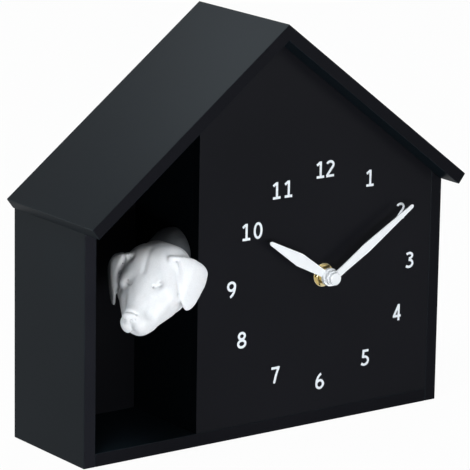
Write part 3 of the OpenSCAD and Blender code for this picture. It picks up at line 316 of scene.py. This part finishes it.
# Grain is counted to the metre, and depth is in mm
finishes = {
    # the board lacquer paints a bluish sheen on side faces
    "black_board": makeLacquer("boardLacquerPaintedSheen"),
    # painted highlight on the front edge of the left wall, 1.7 times paler
    "left_board": makeLacquer("leftLacquerPaintedEdgeLight", frontShare=1.7),
    # painted shade on the dial panel's end faces and edges, a quarter as pale
    "dial_black": makeLacquer("dialLacquerPaintedShade", sideShare=0.25, gloss=0.03, frontGloss=0.08, coatRough=0.35),
    # painted shade on the back panel's inside faces in the kennel, and painted light on its rear face
    "back_board": makeLacquer("backLacquerPaintedLightAndShade", frontShare=0.4, sideShare=0.4, rearShare=2.8, frontGloss=0.08,
                              coatRough=0.5),
    # painted shade over the whole divider wall inside the kennel
    "inside": makeLacquer("insidePaintedShade", frontShare=0.3, sideShare=0.3, rearShare=0.3, gloss=0.02,
                          coatRough=0.5),
    "pine": makePine(),
    "white_print": makePlastic("printInk", (0.86, 0.9, 0.94), rough=0.6, grain=1600, depth=0.01, vary=0.03),
    "white_hands": makePlastic("handPaint", (0.88, 0.9, 0.92), rough=0.32, grain=1400, depth=0.008,
                               vary=0.02),
    "white_cap": makePlastic("capPlastic", (0.86, 0.88, 0.9), rough=0.3, grain=1400, depth=0.008, vary=0.02),
    "brass": makeMetal("brass", (0.82, 0.74, 0.48), rough=0.2, stretch=(1, 3, 1), grain=900, depth=0.03,
                       vary=0.2),
    "nut_brass": makeMetal("nutBrass", (0.6, 0.5, 0.26), rough=0.12, stretch=(1, 3, 1), grain=900,
                           depth=0.07, vary=0.25),
    "steel": makeMetal("steel", (0.6, 0.6, 0.62), rough=0.3),
    "black_rubber": makePlastic("rubber", (0.018, 0.018, 0.018), rough=0.8, grain=700, depth=0.05, vary=0.2),
    "black_plastic": makePlastic("movementPlastic", (0.028, 0.028, 0.03), rough=0.5, grain=1100, depth=0.05,
                                 vary=0.15),
    "knob_plastic": makePlastic("knobPlastic", (0.03, 0.03, 0.032), rough=0.35, grain=1400, depth=0.01,
                                vary=0.1),
    "wheel_plastic": makePlastic("wheelNylon", (0.78, 0.75, 0.64), rough=0.4, grain=900, depth=0.01,
                                 vary=0.05, shaderValues={"Subsurface Weight": 0.1}),
    "drive_plastic": makePlastic("driveNylon", (0.78, 0.78, 0.76), rough=0.4, grain=900, depth=0.01,
                                 vary=0.04),
    "magnet": makeMetal("magnet", (0.14, 0.14, 0.15), rough=0.5, grain=1200, depth=0.02),
    "copper_wire": makeMetal("copperWire", (0.6, 0.27, 0.12), rough=0.3, stretch=(60, 1, 1), grain=60,
                             depth=0.08),
    "board_green": makeSolderMask(),
    "part_black": makePlastic("chipPlastic", (0.02, 0.02, 0.021), rough=0.45, grain=1500, depth=0.02,
                              vary=0.15),
    "cell_wrap": makeSleeve(),
    "dog_white": makeResin(),
    "speaker_black": makePlastic("speakerPaper", (0.03, 0.03, 0.031), rough=0.85, grain=1300, depth=0.06,
                                 vary=0.25),
    "button_red": makePlastic("buttonPlastic", (0.42, 0.025, 0.02), rough=0.3, grain=1200, depth=0.01,
                              vary=0.06),
    "lead_red": makePlastic("leadSleeve", (0.32, 0.02, 0.02), rough=0.4, grain=900, depth=0.01, vary=0.08),
}
print("finishes made:", len(finishes))


# Pieces: every one gets its finish, its slot and the body that it rides on
def addPiece(name, mesh, node, finish=None, slot=None):
    piece = bpy.data.objects.new(name, mesh)
    scene.collection.objects.link(piece)
    slot = slot or slotOf[node]
    mesh.materials.clear()
    mesh.materials.append(finish or finishes[slot])
    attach(piece, bodyOf[node])
    return piece


def meshFrom(bm, name):
    mesh = bpy.data.meshes.new(name)
    bm.to_mesh(mesh)
    bm.free()
    return mesh


def smoothMeshFrom(bm, name, smoothAngle=35):
    bmesh.ops.recalc_face_normals(bm, faces=bm.faces)
    mesh = meshFrom(bm, name)
    mesh.shade_smooth()
    mesh.set_sharp_from_angle(angle=math.radians(smoothAngle))
    return mesh


# Eased copies: the solids as they are, with their sharp edges broken by this width in mm
easedWidth = {
    "left_wall": 0.5, "right_wall": 0.5, "floor_board": 0.45, "divider_wall": 0.3, "dial_panel": 0.3,
    "back_panel": 0.35, "roof_left": 0.5, "roof_right": 0.5, "glue_blocks": 0.4,
    "hour_hand": 0.16, "minute_hand": 0.16, "hand_cap": 0.35, "fixing_nut": 0.12, "brass_washer": 0.1,
    "movement_case": 0.4, "movement_plate": 0.3, "setting_knob": 0.2, "battery_box": 0.25,
    "battery_door": 0.25, "drive_chassis": 0.25, "dog_carriage": 0.3, "gear_motor": 0.3,
    "switch_slider": 0.25, "test_button": 0.4, "switch_body": 0.12, "back_screws": 0.12,
    "chassis_screws": 0.12,
}
easing = {"weld": 2e-6, "flat": 0.8, "sharp": 32, "segments": 2, "ridge": 1e-5}
# the divider's own finish holds painted shade, and the left wall's a painted highlight on its front edge
ownFinish = {"divider_wall": "inside", "fixing_nut": "nut_brass", "left_wall": "left_board"}


def easedCopy(node, width):
    bm = bmesh.new()
    bm.from_mesh(frame["nodes"][node].data)
    bmesh.ops.remove_doubles(bm, verts=bm.verts, dist=easing["weld"])
    bmesh.ops.dissolve_limit(bm, angle_limit=math.radians(easing["flat"]), verts=bm.verts, edges=bm.edges)
    sharp = math.radians(easing["sharp"])
    ridge = easing["ridge"] if node.startswith("roof") else -1  # the mitre at the ridge stays closed
    edges = [e for e in bm.edges if len(e.link_faces) == 2 and e.calc_face_angle(0) > sharp
             and not all(abs(v.co.x) < ridge for v in e.verts)]
    bmesh.ops.bevel(bm, geom=edges, offset=width * mm, offset_type="OFFSET", segments=easing["segments"],
                    profile=0.5, affect="EDGES", clamp_overlap=True, material=-1)
    name = node + "_eased"
    piece = addPiece(name, smoothMeshFrom(bm, name), node, finishes.get(ownFinish.get(node)))
    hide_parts(node)
    weighted = piece.modifiers.new("evenFaces", "WEIGHTED_NORMAL")
    weighted.keep_sharp = True


for node, width in easedWidth.items():
    easedCopy(node, width)
print("eased copies:", len(easedWidth))

for node, piece in frame["nodes"].items():
    piece.data.materials.clear()
    piece.data.materials.append(finishes[slotOf[node]])


# The dog: groups of lumps, each group drawn tight over, in the head's own frame with the nose along -Y.
# A lump is its centre, its three radii and its tilt in degrees, and most of them are on both sides.
dog = {
    "fromWall": 30.6, "outOfFront": 7.0, "height": 101.2, "yaw": 57.5, "pitch": 14.5, "roll": -2.5,
    "voxel": 0.55, "smoothing": 20, "eye": (9.2, -12.2, 3.9), "noseShift": -1.1,
    "skull": [((0, 2, -4.5), (19.3, 17.5, 15.5), 15), ((6, 7, 0.3), (12.5, 15.5, 14.3), 15),
              ((0, 11, 1), (15, 13, 13.5), 15), ((4, 7, -11.5), (11.5, 15, 12), 0),
              ((0, -4, -12.7), (11, 13, 10.2), 0), ((8.6, -5, -4.5), (9.4, 11, 10.5), 0)],
    "bridge": [((0, -20, -8.4), (8.6, 11.5, 8), 14), ((7.5, -5, -3.5), (10, 11, 9.5), 0),
               ((4.2, -19, -12.5), (6, 8, 7), 0), ((5.5, -4, -11.6), (9.5, 10.5, 9.2), 0)],
    "stop": [((0, -4, 1), (12, 9, 7.8), 15), ((0, -22, -8), (6, 8, 7), 14)],
    "muzzle": [((0, -21, -8.4), (8.6, 11, 7.8), 14), ((4.2, -20, -13.5), (6, 9, 6.5), 0),
               ((0, -20, -16.5), (6.6, 9, 6), -6)],
    "flew": [((3.1, -26.6, -11.9), (5.2, 6.2, 6.3), 0), ((4.2, -20, -13.5), (6, 9, 6.5), 0)],
    "nose": [((1.1, -31.3, -6.6), (4.1, 2.9, 3.3), 0), ((0.5, -27, -6), (4.6, 4, 4), 0)],
}
neck = {"radius": 12.3, "widest": 1.06, "narrowing": 0.06, "steps": 9, "rootTo": (8, 8, 2), "endBack": 20,
        "endHeight": 107, "endGap": 0.8, "endShort": 0.2, "collar": 0.6, "collarReach": 0.8}


def headFrame():
    low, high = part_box("left_wall")
    place = Vector((high.x / mm + dog["fromWall"], low.y / mm - dog["outOfFront"], dog["height"]))
    return (Matrix.Translation(place) @ (Matrix.Rotation(math.radians(-dog["yaw"]), 4, "Z")
            @ Matrix.Rotation(math.radians(dog["pitch"]), 4, "X")
            @ Matrix.Rotation(math.radians(dog["roll"]), 4, "Y")))


def addLump(bm, centre, radii, tilt=0, side=1):
    place = Matrix.LocRotScale(Vector((centre[0] * side, *centre[1:])),
                               Matrix.Rotation(math.radians(tilt), 3, "X"), Vector(radii))
    bmesh.ops.create_icosphere(bm, subdivisions=4, radius=1, matrix=place)


def addTightGroup(bm, lumps, sides):
    loose = bmesh.new()
    for centre, radii, tilt in lumps:
        for side in sides:
            addLump(loose, centre, radii, tilt, side)
    group = bmesh.new()
    for vert in loose.verts:
        group.verts.new(vert.co)
    loose.free()
    bmesh.ops.convex_hull(group, input=group.verts[:])
    bmesh.ops.delete(group, geom=[v for v in group.verts if not v.link_faces], context="VERTS")
    bmesh.ops.recalc_face_normals(group, faces=group.faces)
    bm.from_mesh(meshFrom(group, "tightGroup"))


def addHead(bm):
    for name in ("skull", "bridge", "stop", "muzzle"):
        addTightGroup(bm, dog[name], (-1, 1))
    addTightGroup(bm, dog["nose"], (-1,))  # the nose points a little to its right
    for side in (-1, 1):
        addTightGroup(bm, dog["flew"], (side,))


# The neck runs from inside the skull to just short of the divider, where it is cut off flat
def addNeck(bm, place, neckEnd):
    start = place.translation + Vector(neck["rootTo"])
    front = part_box("left_wall")[0].y / mm
    end = Vector((neckEnd - neck["radius"] * neck["endShort"], front + neck["endBack"], neck["endHeight"]))
    inward = place.inverted()
    for i in range(neck["steps"] + 1):
        t = i / neck["steps"]
        radius = neck["radius"] * (neck["widest"] - neck["narrowing"] * t)
        addLump(bm, inward @ start.lerp(end, t), (radius,) * 3)


def trimNeck(mesh, neckEnd):
    bm = bmesh.new()
    bm.from_mesh(mesh)
    cut = bmesh.ops.bisect_plane(bm, geom=[*bm.verts, *bm.edges, *bm.faces], plane_co=(neckEnd, 0, 0),
                                 plane_no=(1, 0, 0), clear_outer=True)
    rim = [e for e in cut["geom_cut"] if isinstance(e, bmesh.types.BMEdge)]
    bmesh.ops.edgeloop_fill(bm, edges=rim)
    bm.to_mesh(mesh)
    bm.free()


# An ear is a thin plate with this rim, drawn in its own plane, first along the fold and then down to the tip
ear = {
    "root": (15, 2, 11.5), "corner": (28.7, 9.6, 1.4), "tip": (22.2, -5.5, -15.3),
    "thick": 1.9, "voxel": 0.7, "smoothing": 2,
    "rim": [(-4.5, -0.6), (1.5, -2.6), (9, -3.6), (15, -2.6), (18.6, 0), (19.9, 6), (19.2, 12.5), (18, 19.2),
            (15.4, 23.5), (12.4, 23), (8.6, 18.4), (5.2, 11), (1.6, 5.5), (-3.5, 3.5)],
    "rimSteps": 6, "cup": 1.0, "cupMiddle": (11, 9), "cupReach": (11, 15),
    "fold": 2.2, "foldFrom": 2, "foldOver": 6, "spread": 1.23,
    "left": {"side": 1, "flare": 0, "bendAt": 10, "bend": 24},
    "right": {"side": -1, "flare": 11, "bendAt": 10.5, "bend": 26},
}


def smoothLoop(points, steps):
    count = len(points)
    loop = []
    for i in range(count):
        a, b, c, d = (Vector(points[(i + k) % count]) for k in (-1, 0, 1, 2))
        for step in range(steps):
            t = step / steps
            loop.append(0.5 * (2 * b + (c - a) * t + (2 * a - 5 * b + 4 * c - d) * t ** 2
                               + (3 * b - a - 3 * c + d) * t ** 3))
    return loop


def remeshed(name, mesh, voxel, smoothing):
    holder = bpy.data.objects.new(name, mesh)
    scene.collection.objects.link(holder)
    remesh = holder.modifiers.new("voxels", "REMESH")
    remesh.mode = "VOXEL"
    remesh.voxel_size = voxel
    smooth = holder.modifiers.new("soften", "SMOOTH")
    smooth.factor = 0.5
    smooth.iterations = smoothing
    graph = bpy.context.evaluated_depsgraph_get()
    made = bpy.data.meshes.new_from_object(holder.evaluated_get(graph))
    bpy.data.objects.remove(holder)
    return made


def pointsOf(mesh):
    values = np.zeros(len(mesh.vertices) * 3, np.float32)
    mesh.vertices.foreach_get("co", values)
    return values.reshape(-1, 3).astype(float)


def normalsOf(mesh):
    values = np.zeros(len(mesh.vertices) * 3, np.float32)
    mesh.vertex_normals.foreach_get("vector", values)
    return values.reshape(-1, 3).astype(float)


def setPoints(mesh, points):
    mesh.vertices.foreach_set("co", points.astype(np.float32).ravel())
    mesh.update()


def earPlate():
    bm = bmesh.new()
    rim = [bm.verts.new((*p, 0)) for p in smoothLoop(ear["rim"], ear["rimSteps"])]
    plate = bm.faces.new(rim)
    lifted = bmesh.ops.extrude_face_region(bm, geom=[plate])["geom"]
    upper = [v for v in lifted if isinstance(v, bmesh.types.BMVert)]
    bmesh.ops.translate(bm, vec=(0, 0, ear["thick"]), verts=upper)
    bmesh.ops.recalc_face_normals(bm, faces=bm.faces)
    return remeshed("earPlate", meshFrom(bm, "earPlate"), ear["voxel"], ear["smoothing"])


def earMesh(flare, bendAt, bend):
    root, corner, tip = (Vector(ear[k]) for k in ("root", "corner", "tip"))
    along = (corner - root).normalized()
    outward = (tip - root).cross(corner - root).normalized()
    down = along.cross(outward)
    if down.dot(tip - root) < 0:
        down = -down
    turn = Matrix.Rotation(math.radians(flare), 3, along.cross(outward))
    along, outward = turn @ along, turn @ outward
    made = earPlate()
    p = pointsOf(made)
    a, b, h = p[:, 0], p[:, 1], p[:, 2] - ear["thick"] / 2
    middle, reach = ear["cupMiddle"], ear["cupReach"]
    cup = ear["cup"] * (1 - ((a - middle[0]) / reach[0]) ** 2) * (1 - ((b - middle[1]) / reach[1]) ** 2)
    past = np.maximum(a - bendAt, 0) * ear["spread"]  # the outer part turns back
    a = np.minimum(a, bendAt) + past * math.cos(math.radians(bend))
    cup -= past * math.sin(math.radians(bend))
    # the flap rolls back over the skull along its fold
    fold = ear["fold"] * np.clip((ear["foldFrom"] - b) / ear["foldOver"], 0, 1) ** 2
    bent = (np.outer(a, along) + np.outer(b, down) + np.outer(h + cup - fold, outward)) + np.array(root)
    setPoints(made, bent)
    return made


def addEars(bm):
    for values in (ear["left"], ear["right"]):
        flap = earMesh(values["flare"], values["bendAt"], values["bend"])
        flap.transform(Matrix.Diagonal((values["side"], 1, 1, 1)))
        if values["side"] < 0:
            flap.flip_normals()
        bm.from_mesh(flap)


# Marks on the face: a single spot is pressed in, a line of them is carved, and a depth below 0 stands out.
# Marks by the eye are measured from it, and marks by the nose go with its shift.
softPairs = {
    "eyeHollow": {"by": "eye", "spots": [(0, 0, -0.4)], "reach": (2.6, 5, 2.3), "depth": 1.7},
    "brow": {"by": "eye", "spots": [(0, 3, 5)], "reach": (4.5, 5, 2.6), "depth": -0.2},
    "besideMuzzle": {"spots": [(11.5, -13, -1.5), (8.6, -18, -2.4), (8, -24, -6)], "reach": 3.6,
                     "depth": 2.4},
}
finePairs = {
    "eyeball": {"by": "eye", "spots": [(0, 0, 0)], "reach": (1.5, 4, 1.4), "depth": -1.1},
    "upperLid": {"by": "eye", "spots": [(-2.4, -1, -1.4), (-1.4, 0, 1.4), (2.4, 3, 2.4)], "reach": 0.7,
                 "depth": 1.7},
    "lowerLid": {"by": "eye", "spots": [(-2.2, -1, -1.4), (0, 1, -2.1), (2.2, 3, -0.8)], "reach": 0.6,
                 "depth": 0.5},
    "pupil": {"by": "eye", "spots": [(0.2, 0, 0)], "reach": (0.85, 3, 0.85), "depth": 1.3},
    "nostril": {"by": "nose", "spots": [(2.1, -34, -7.2)], "reach": (0.85, 2, 0.65), "depth": 1.3},
    "noseWing": {"by": "nose", "spots": [(1.6, -34, -5.2), (3.3, -33.3, -5.8), (3.9, -32, -7.6)],
                 "reach": 0.6, "depth": 0.35},
    "mouth": {"spots": [(0.6, -31, -15.5), (4.5, -28, -18), (8.4, -20, -17.6), (10, -13, -15)],
              "reach": 0.8, "depth": 0.8},
    "flapDip": {"spots": [(15.6, 1, 10.5), (17.2, -1.7, 5.6), (17.8, -5, 0.7), (17.6, -7, -4)],
                "reach": 1.6, "depth": 1.0},
    "flapLine": {"spots": [(15.6, 1, 10.5), (17.2, -1.7, 5.6), (17.8, -5, 0.7)], "reach": 0.7, "depth": 2.2},
    "flapTop": {"spots": [(12, 1.5, 14.2), (16.8, 4.6, 12.2)], "reach": 0.65, "depth": 1.1},
}
fineSingles = {
    "rightTemple": {"spots": [(-11.4, 0, 11.8), (-15, -1, 7), (-17.2, -2.4, 2.6), (-17.2, -5.5, -1),
                              (-15, -11, -2.4)], "reach": 2.1, "depth": 2.2},
    "overNose": {"spots": [(-5.6, -30.2, -5.6), (-3.8, -30.8, -3.5), (-1.1, -31, -2.8), (1.6, -30.8, -3.5),
                           (3.4, -30.2, -5.4)], "reach": 0.7, "depth": 1.0},
    "lipCleft": {"spots": [(0, -33.4, -8), (0, -32.6, -11), (0, -31.4, -15.5)], "reach": 0.7, "depth": 0.8},
    "furrow": {"spots": [(-1.2, 6, 14.6), (-1.2, -0.6, 12.4), (-0.6, -7.7, 7.7)], "reach": 1.5,
               "depth": 0.5},
}


def press(points, normals, spots, reach, depth):
    away = np.linalg.norm((points - np.array(spots[0])) / np.array(reach), axis=1)
    return points - normals * (depth * np.exp(-away ** 2))[:, None]


def carve(points, normals, spots, reach, depth):
    nearest = np.full(len(points), 1e9)
    for a, b in zip(spots[:-1], spots[1:]):
        a, b = np.array(a, float), np.array(b, float)
        t = np.clip((points - a) @ (b - a) / ((b - a) @ (b - a)), 0, 1)
        nearest = np.minimum(nearest, np.linalg.norm(points - a - np.outer(t, b - a), axis=1))
    return points - normals * (depth * np.exp(-(nearest / reach) ** 2))[:, None]


# One round of marks, all of them along the surface as the round found it
def sculpt(mesh, *marksAndSides):
    points, normals = pointsOf(mesh), normalsOf(mesh)
    for marks, side in marksAndSides:
        for mark in marks.values():
            fromX, fromY, fromZ = dog["eye"] if mark.get("by") == "eye" else (0, 0, 0)
            shift = dog["noseShift"] if mark.get("by") == "nose" else 0
            spots = [((fromX + x) * side + shift, fromY + y, fromZ + z) for x, y, z in mark["spots"]]
            push = press if len(spots) == 1 else carve
            points = push(points, normals, spots, mark["reach"], mark["depth"])
    setPoints(mesh, points)


# A raised line round the neck where its grey begins
def raiseCollar(mesh):
    along = np.array(Vector(resin["neckAlong"]).normalized())
    points, normals = pointsOf(mesh), normalsOf(mesh)
    behind = (points - np.array(resin["neckFrom"]) / mm) @ along
    rise = neck["collar"] * np.exp(-(behind / neck["collarReach"]) ** 2)
    setPoints(mesh, points + normals * rise[:, None])


def makeDog():
    place = headFrame()
    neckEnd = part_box("divider_wall")[0].x / mm - neck["endGap"]
    bm = bmesh.new()
    addHead(bm)
    addNeck(bm, place, neckEnd)
    addEars(bm)
    mesh = remeshed("dogRough", meshFrom(bm, "dogRough"), dog["voxel"], dog["smoothing"])
    sculpt(mesh, (softPairs, -1), (softPairs, 1))
    sculpt(mesh, (finePairs, -1), (finePairs, 1), (fineSingles, 1))
    mesh.transform(place)
    raiseCollar(mesh)
    trimNeck(mesh, neckEnd)
    mesh.transform(Matrix.Scale(mm, 4))
    mesh.name = "dogHead"
    mesh.shade_smooth()
    piece = addPiece("dog_head_resin", mesh, "dog_head")
    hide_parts("dog_head")


makeDog()
print("dog made")


# Cells: a printed sleeve drawn over a steel can, bare at both ends, in profiles of radius and height in mm
cell = {"nub": 2.6, "nubLength": 1.2, "lip": 0.35, "sides": 64, "smoothAngle": 40}


def spun(bm, profile, sides):
    verts = [bm.verts.new((r * mm, 0, z * mm)) for r, z in profile]
    for a, b in zip(verts[:-1], verts[1:]):
        bm.edges.new((a, b))
    bmesh.ops.spin(bm, geom=[*bm.verts, *bm.edges], cent=(0, 0, 0), axis=(0, 0, 1), steps=sides,
                   angle=math.tau, use_merge=True)
    bmesh.ops.remove_doubles(bm, verts=bm.verts, dist=1e-7)


def cellShell(place, name, profile, node, slot):
    bm = bmesh.new()
    spun(bm, profile, cell["sides"])
    mesh = smoothMeshFrom(bm, name, cell["smoothAngle"])
    mesh.transform(place)
    return addPiece(name, mesh, node, slot=slot)


def makeCell(node, name, place, length, r):
    lip, nub, body = cell["lip"], cell["nub"], length - cell["nubLength"]
    can = r - lip * 2
    wrap = [(can, 0.6), (can + 0.1, 0.1), (r - 0.1, 0.1), (r, 0.3), (r, body - 0.4), (r - 0.1, body - 0.1),
            (r - lip, body), (can - 0.6, body - 0.02), (can - 0.7, body - 0.5)]
    base = [(0, 0.15), (can * 0.5, 0.15), (can * 0.55, 0), (can - 0.3, 0), (can, 0.3), (can, 1)]
    cap = [(0, length), (nub - 0.3, length), (nub, length - 0.3), (nub, body + 0.2),
           (nub + 0.3, body - 0.05), (can - 1.2, body - 0.05), (can - 0.9, body - 0.3),
           (can - 0.5, body - 0.3)]
    wrapPiece = cellShell(place, name + "Sleeve", wrap, node, "cell_wrap")
    cellShell(place, name + "Base", base, node, "steel")
    cellShell(place, name + "Cap", cap, node, "steel")
    return wrapPiece


def makeCells():
    low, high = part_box("clock_cell")
    middle = (low + high) / 2
    turn = Matrix.Rotation(math.radians(90), 4, "Y")
    wrapPiece = makeCell("clock_cell", "clockCell", Matrix.Translation((low.x, middle.y, middle.z)) @ turn,
                         (high.x - low.x) / mm, (high.z - low.z) / 2 / mm)
    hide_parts("clock_cell")
    low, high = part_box("dog_cells")
    r = (high.y - low.y) / 2
    middleY = (low.y + high.y) / 2
    length = (high.z - low.z) / mm
    flip = Matrix.Rotation(math.pi, 4, "X")
    wrapPiece = makeCell("dog_cells", "dogCellLeft", Matrix.Translation((low.x + r, middleY, low.z)),
                         length, r / mm)
    makeCell("dog_cells", "dogCellRight", Matrix.Translation((high.x - r, middleY, high.z)) @ flip,
             length, r / mm)
    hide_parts("dog_cells")


makeCells()
print("cells made")


# Moulded relief on the back of the movement's case: a border, and a ring round the setting knob
caseRelief = {"height": 0.6, "sunk": 0.1, "width": 1.3, "inset": 1.6, "overCell": 5, "knobGap": 0.9,
              "ease": 0.2, "sides": 72}


def makeCaseBorder(low, high, cellTop):
    inset, width = caseRelief["inset"] * mm, caseRelief["width"] * mm
    tall = (caseRelief["height"] + caseRelief["sunk"]) * mm
    left, right = low.x + inset, high.x - inset
    foot, top = cellTop + caseRelief["overCell"] * mm, high.z - inset
    bm = bmesh.new()
    bars = [((left + right) / 2, z, right - left, width) for z in (foot, top)]
    bars += [(x, (foot + top) / 2, width, top - foot + width) for x in (left, right)]
    for x, z, wide, long in bars:
        place = Vector((x, high.y - caseRelief["sunk"] * mm + tall / 2, z))
        bmesh.ops.create_cube(bm, size=1, matrix=Matrix.LocRotScale(place, None, Vector((wide, tall, long))))
    bmesh.ops.bevel(bm, geom=bm.edges[:], offset=caseRelief["ease"] * mm, offset_type="OFFSET", segments=2,
                    profile=0.5, affect="EDGES", material=-1)
    addPiece("caseBorder", smoothMeshFrom(bm, "caseBorder"), "movement_case")


def makeCaseRing(back, knobLow, knobHigh):
    inner = (knobHigh.x - knobLow.x) / 2 / mm + caseRelief["knobGap"]
    outer, rise, ease = inner + caseRelief["width"], caseRelief["height"], caseRelief["ease"]
    bm = bmesh.new()
    spun(bm, [(inner, -caseRelief["sunk"]), (inner, rise - ease), (inner + ease, rise), (outer - ease, rise),
              (outer, rise - ease), (outer, -caseRelief["sunk"]), (inner, -caseRelief["sunk"])],
         caseRelief["sides"])
    mesh = smoothMeshFrom(bm, "caseRing")
    middle = (knobLow + knobHigh) / 2
    turn = Matrix.Rotation(math.radians(-90), 4, "X")
    mesh.transform(Matrix.Translation((middle.x, back, middle.z)) @ turn)
    addPiece("caseRing", mesh, "movement_case")


def makeCaseRelief():
    low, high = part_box("movement_case")
    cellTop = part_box("clock_cell")[1].z
    knobLow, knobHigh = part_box("setting_knob")
    makeCaseBorder(low, high, cellTop)
    makeCaseRing(high.y, knobLow, knobHigh)


makeCaseRelief()
print("case relief made")


# Camera at the photograph's place
camera = {"yaw": 36.41, "pitch": 14.03, "roll": 1.0, "place": (-1.0638, -1.4613, 0.5541), "lens": 258.65,
          "sensor": 36, "shift": (-0.037, 0.011), "clip": (0.05, 20)}


def makeCamera():
    data = bpy.data.cameras.new("camera")
    data.sensor_width = camera["sensor"]
    data.lens = camera["lens"]
    data.shift_x, data.shift_y = camera["shift"]
    data.clip_start, data.clip_end = camera["clip"]
    made = bpy.data.objects.new("camera", data)
    scene.collection.objects.link(made)
    made.matrix_world = (Matrix.Translation(camera["place"])
                         @ Matrix.Rotation(math.radians(-camera["yaw"]), 4, "Z")
                         @ Matrix.Rotation(math.radians(90 - camera["pitch"]), 4, "X")
                         @ Matrix.Rotation(math.radians(camera["roll"]), 4, "Z"))
    scene.camera = made


# Soft studio light on a pale floor
nearWhite = (0.97, 0.985, 1.0)
lamps = {
    "low": {"place": (-0.2, -0.62, 0.055), "aim": (-0.06, -0.04, 0.1), "size": (0.4, 0.09), "power": 2.45,
            "colour": nearWhite},
    "front": {"place": (-0.5, -1.6, 0.36), "aim": (0, 0, 0.1), "size": (0.4, 0.25), "power": 1.5,
              "colour": nearWhite},
    "topFront": {"place": (-0.46, -0.25, 1.06), "aim": (0, 0, 0.1), "size": (0.32, 0.32), "power": 4.8,
                 "colour": (0.93, 0.97, 1.0)},
    "rightLow": {"place": (0.7, -0.9, 0.1), "aim": (-0.05, -0.03, 0.1), "size": (0.4, 0.18), "power": 0.8,
                 "colour": nearWhite},
    "leftLow": {"place": (-1.0, 0.9, 0.12), "aim": (-0.12, 0, 0.1), "size": (0.5, 0.2), "power": 3,
                "colour": (0.8, 0.95, 1.0)},
    "gleam": {"place": (-0.08, 0.584, 0.77), "aim": (0, -0.04, 0.22), "size": (0.2, 0.2), "power": 0.5,
              "colour": (0.8, 0.92, 1.0)},
    "back": {"place": (0.5, 1.7, 0.7), "aim": (0, 0, 0.1), "size": (0.9, 0.6), "power": 2.2,
             "colour": (0.92, 0.97, 1.0)},
    "topRight": {"place": (0.9, 0.7, 1.1), "aim": (0, 0, 0.1), "size": (0.8, 0.8), "power": 6,
                 "colour": (0.85, 0.94, 1.0)},
}


def makeLamps():
    for name, values in lamps.items():
        data = bpy.data.lights.new(name, "AREA")
        data.shape = "RECTANGLE"
        data.size, data.size_y = values["size"]
        data.energy = values["power"]
        data.color = values["colour"]
        lamp = bpy.data.objects.new(name, data)
        scene.collection.objects.link(lamp)
        lamp.visible_camera = False
        lamp.location = values["place"]
        lamp.rotation_euler = (Vector(values["aim"]) - lamp.location).to_track_quat("-Z", "Y").to_euler()


studio = {"ambient": 0.05, "floor": (0.9, 0.9, 0.9), "floorSide": 12, "floorRough": 0.9, "floorGlow": 0.97}
plainWhite = (1, 1, 1, 1)


def makeSky():
    world = bpy.data.worlds.new("studio")
    scene.world = world
    world.use_nodes = True
    sky = Nodes(world.node_tree)
    soft = sky.node("ShaderNodeBackground", {}, {"Color": plainWhite, "Strength": studio["ambient"]})
    white = sky.node("ShaderNodeBackground", {}, {"Color": plainWhite, "Strength": 1.0})
    sky.show(sky.node("ShaderNodeMixShader", {}, {0: sky.seenDirectly(), 1: soft, 2: white}))


def makeFloor():
    paper = Finish("floorPaper", {"Base Color": (*studio["floor"], 1), "Roughness": studio["floorRough"],
                                  "Specular IOR Level": 0.0})
    glow = paper.node("ShaderNodeEmission", {}, {"Color": plainWhite, "Strength": 1.0})
    matt = Wire(paper, paper.shader.outputs[0])
    share = paper.seenDirectly() * studio["floorGlow"]
    paper.show(paper.node("ShaderNodeMixShader", {}, {0: share, 1: matt, 2: glow}))
    bm = bmesh.new()
    bmesh.ops.create_grid(bm, x_segments=1, y_segments=1, size=studio["floorSide"] / 2)
    mesh = meshFrom(bm, "floor")
    mesh.materials.append(paper.material)
    floor = bpy.data.objects.new("floor", mesh)
    scene.collection.objects.link(floor)


makeCamera()
makeLamps()
makeSky()
makeFloor()
scene.view_settings.view_transform = "Standard"
print("camera, lamps and studio made")
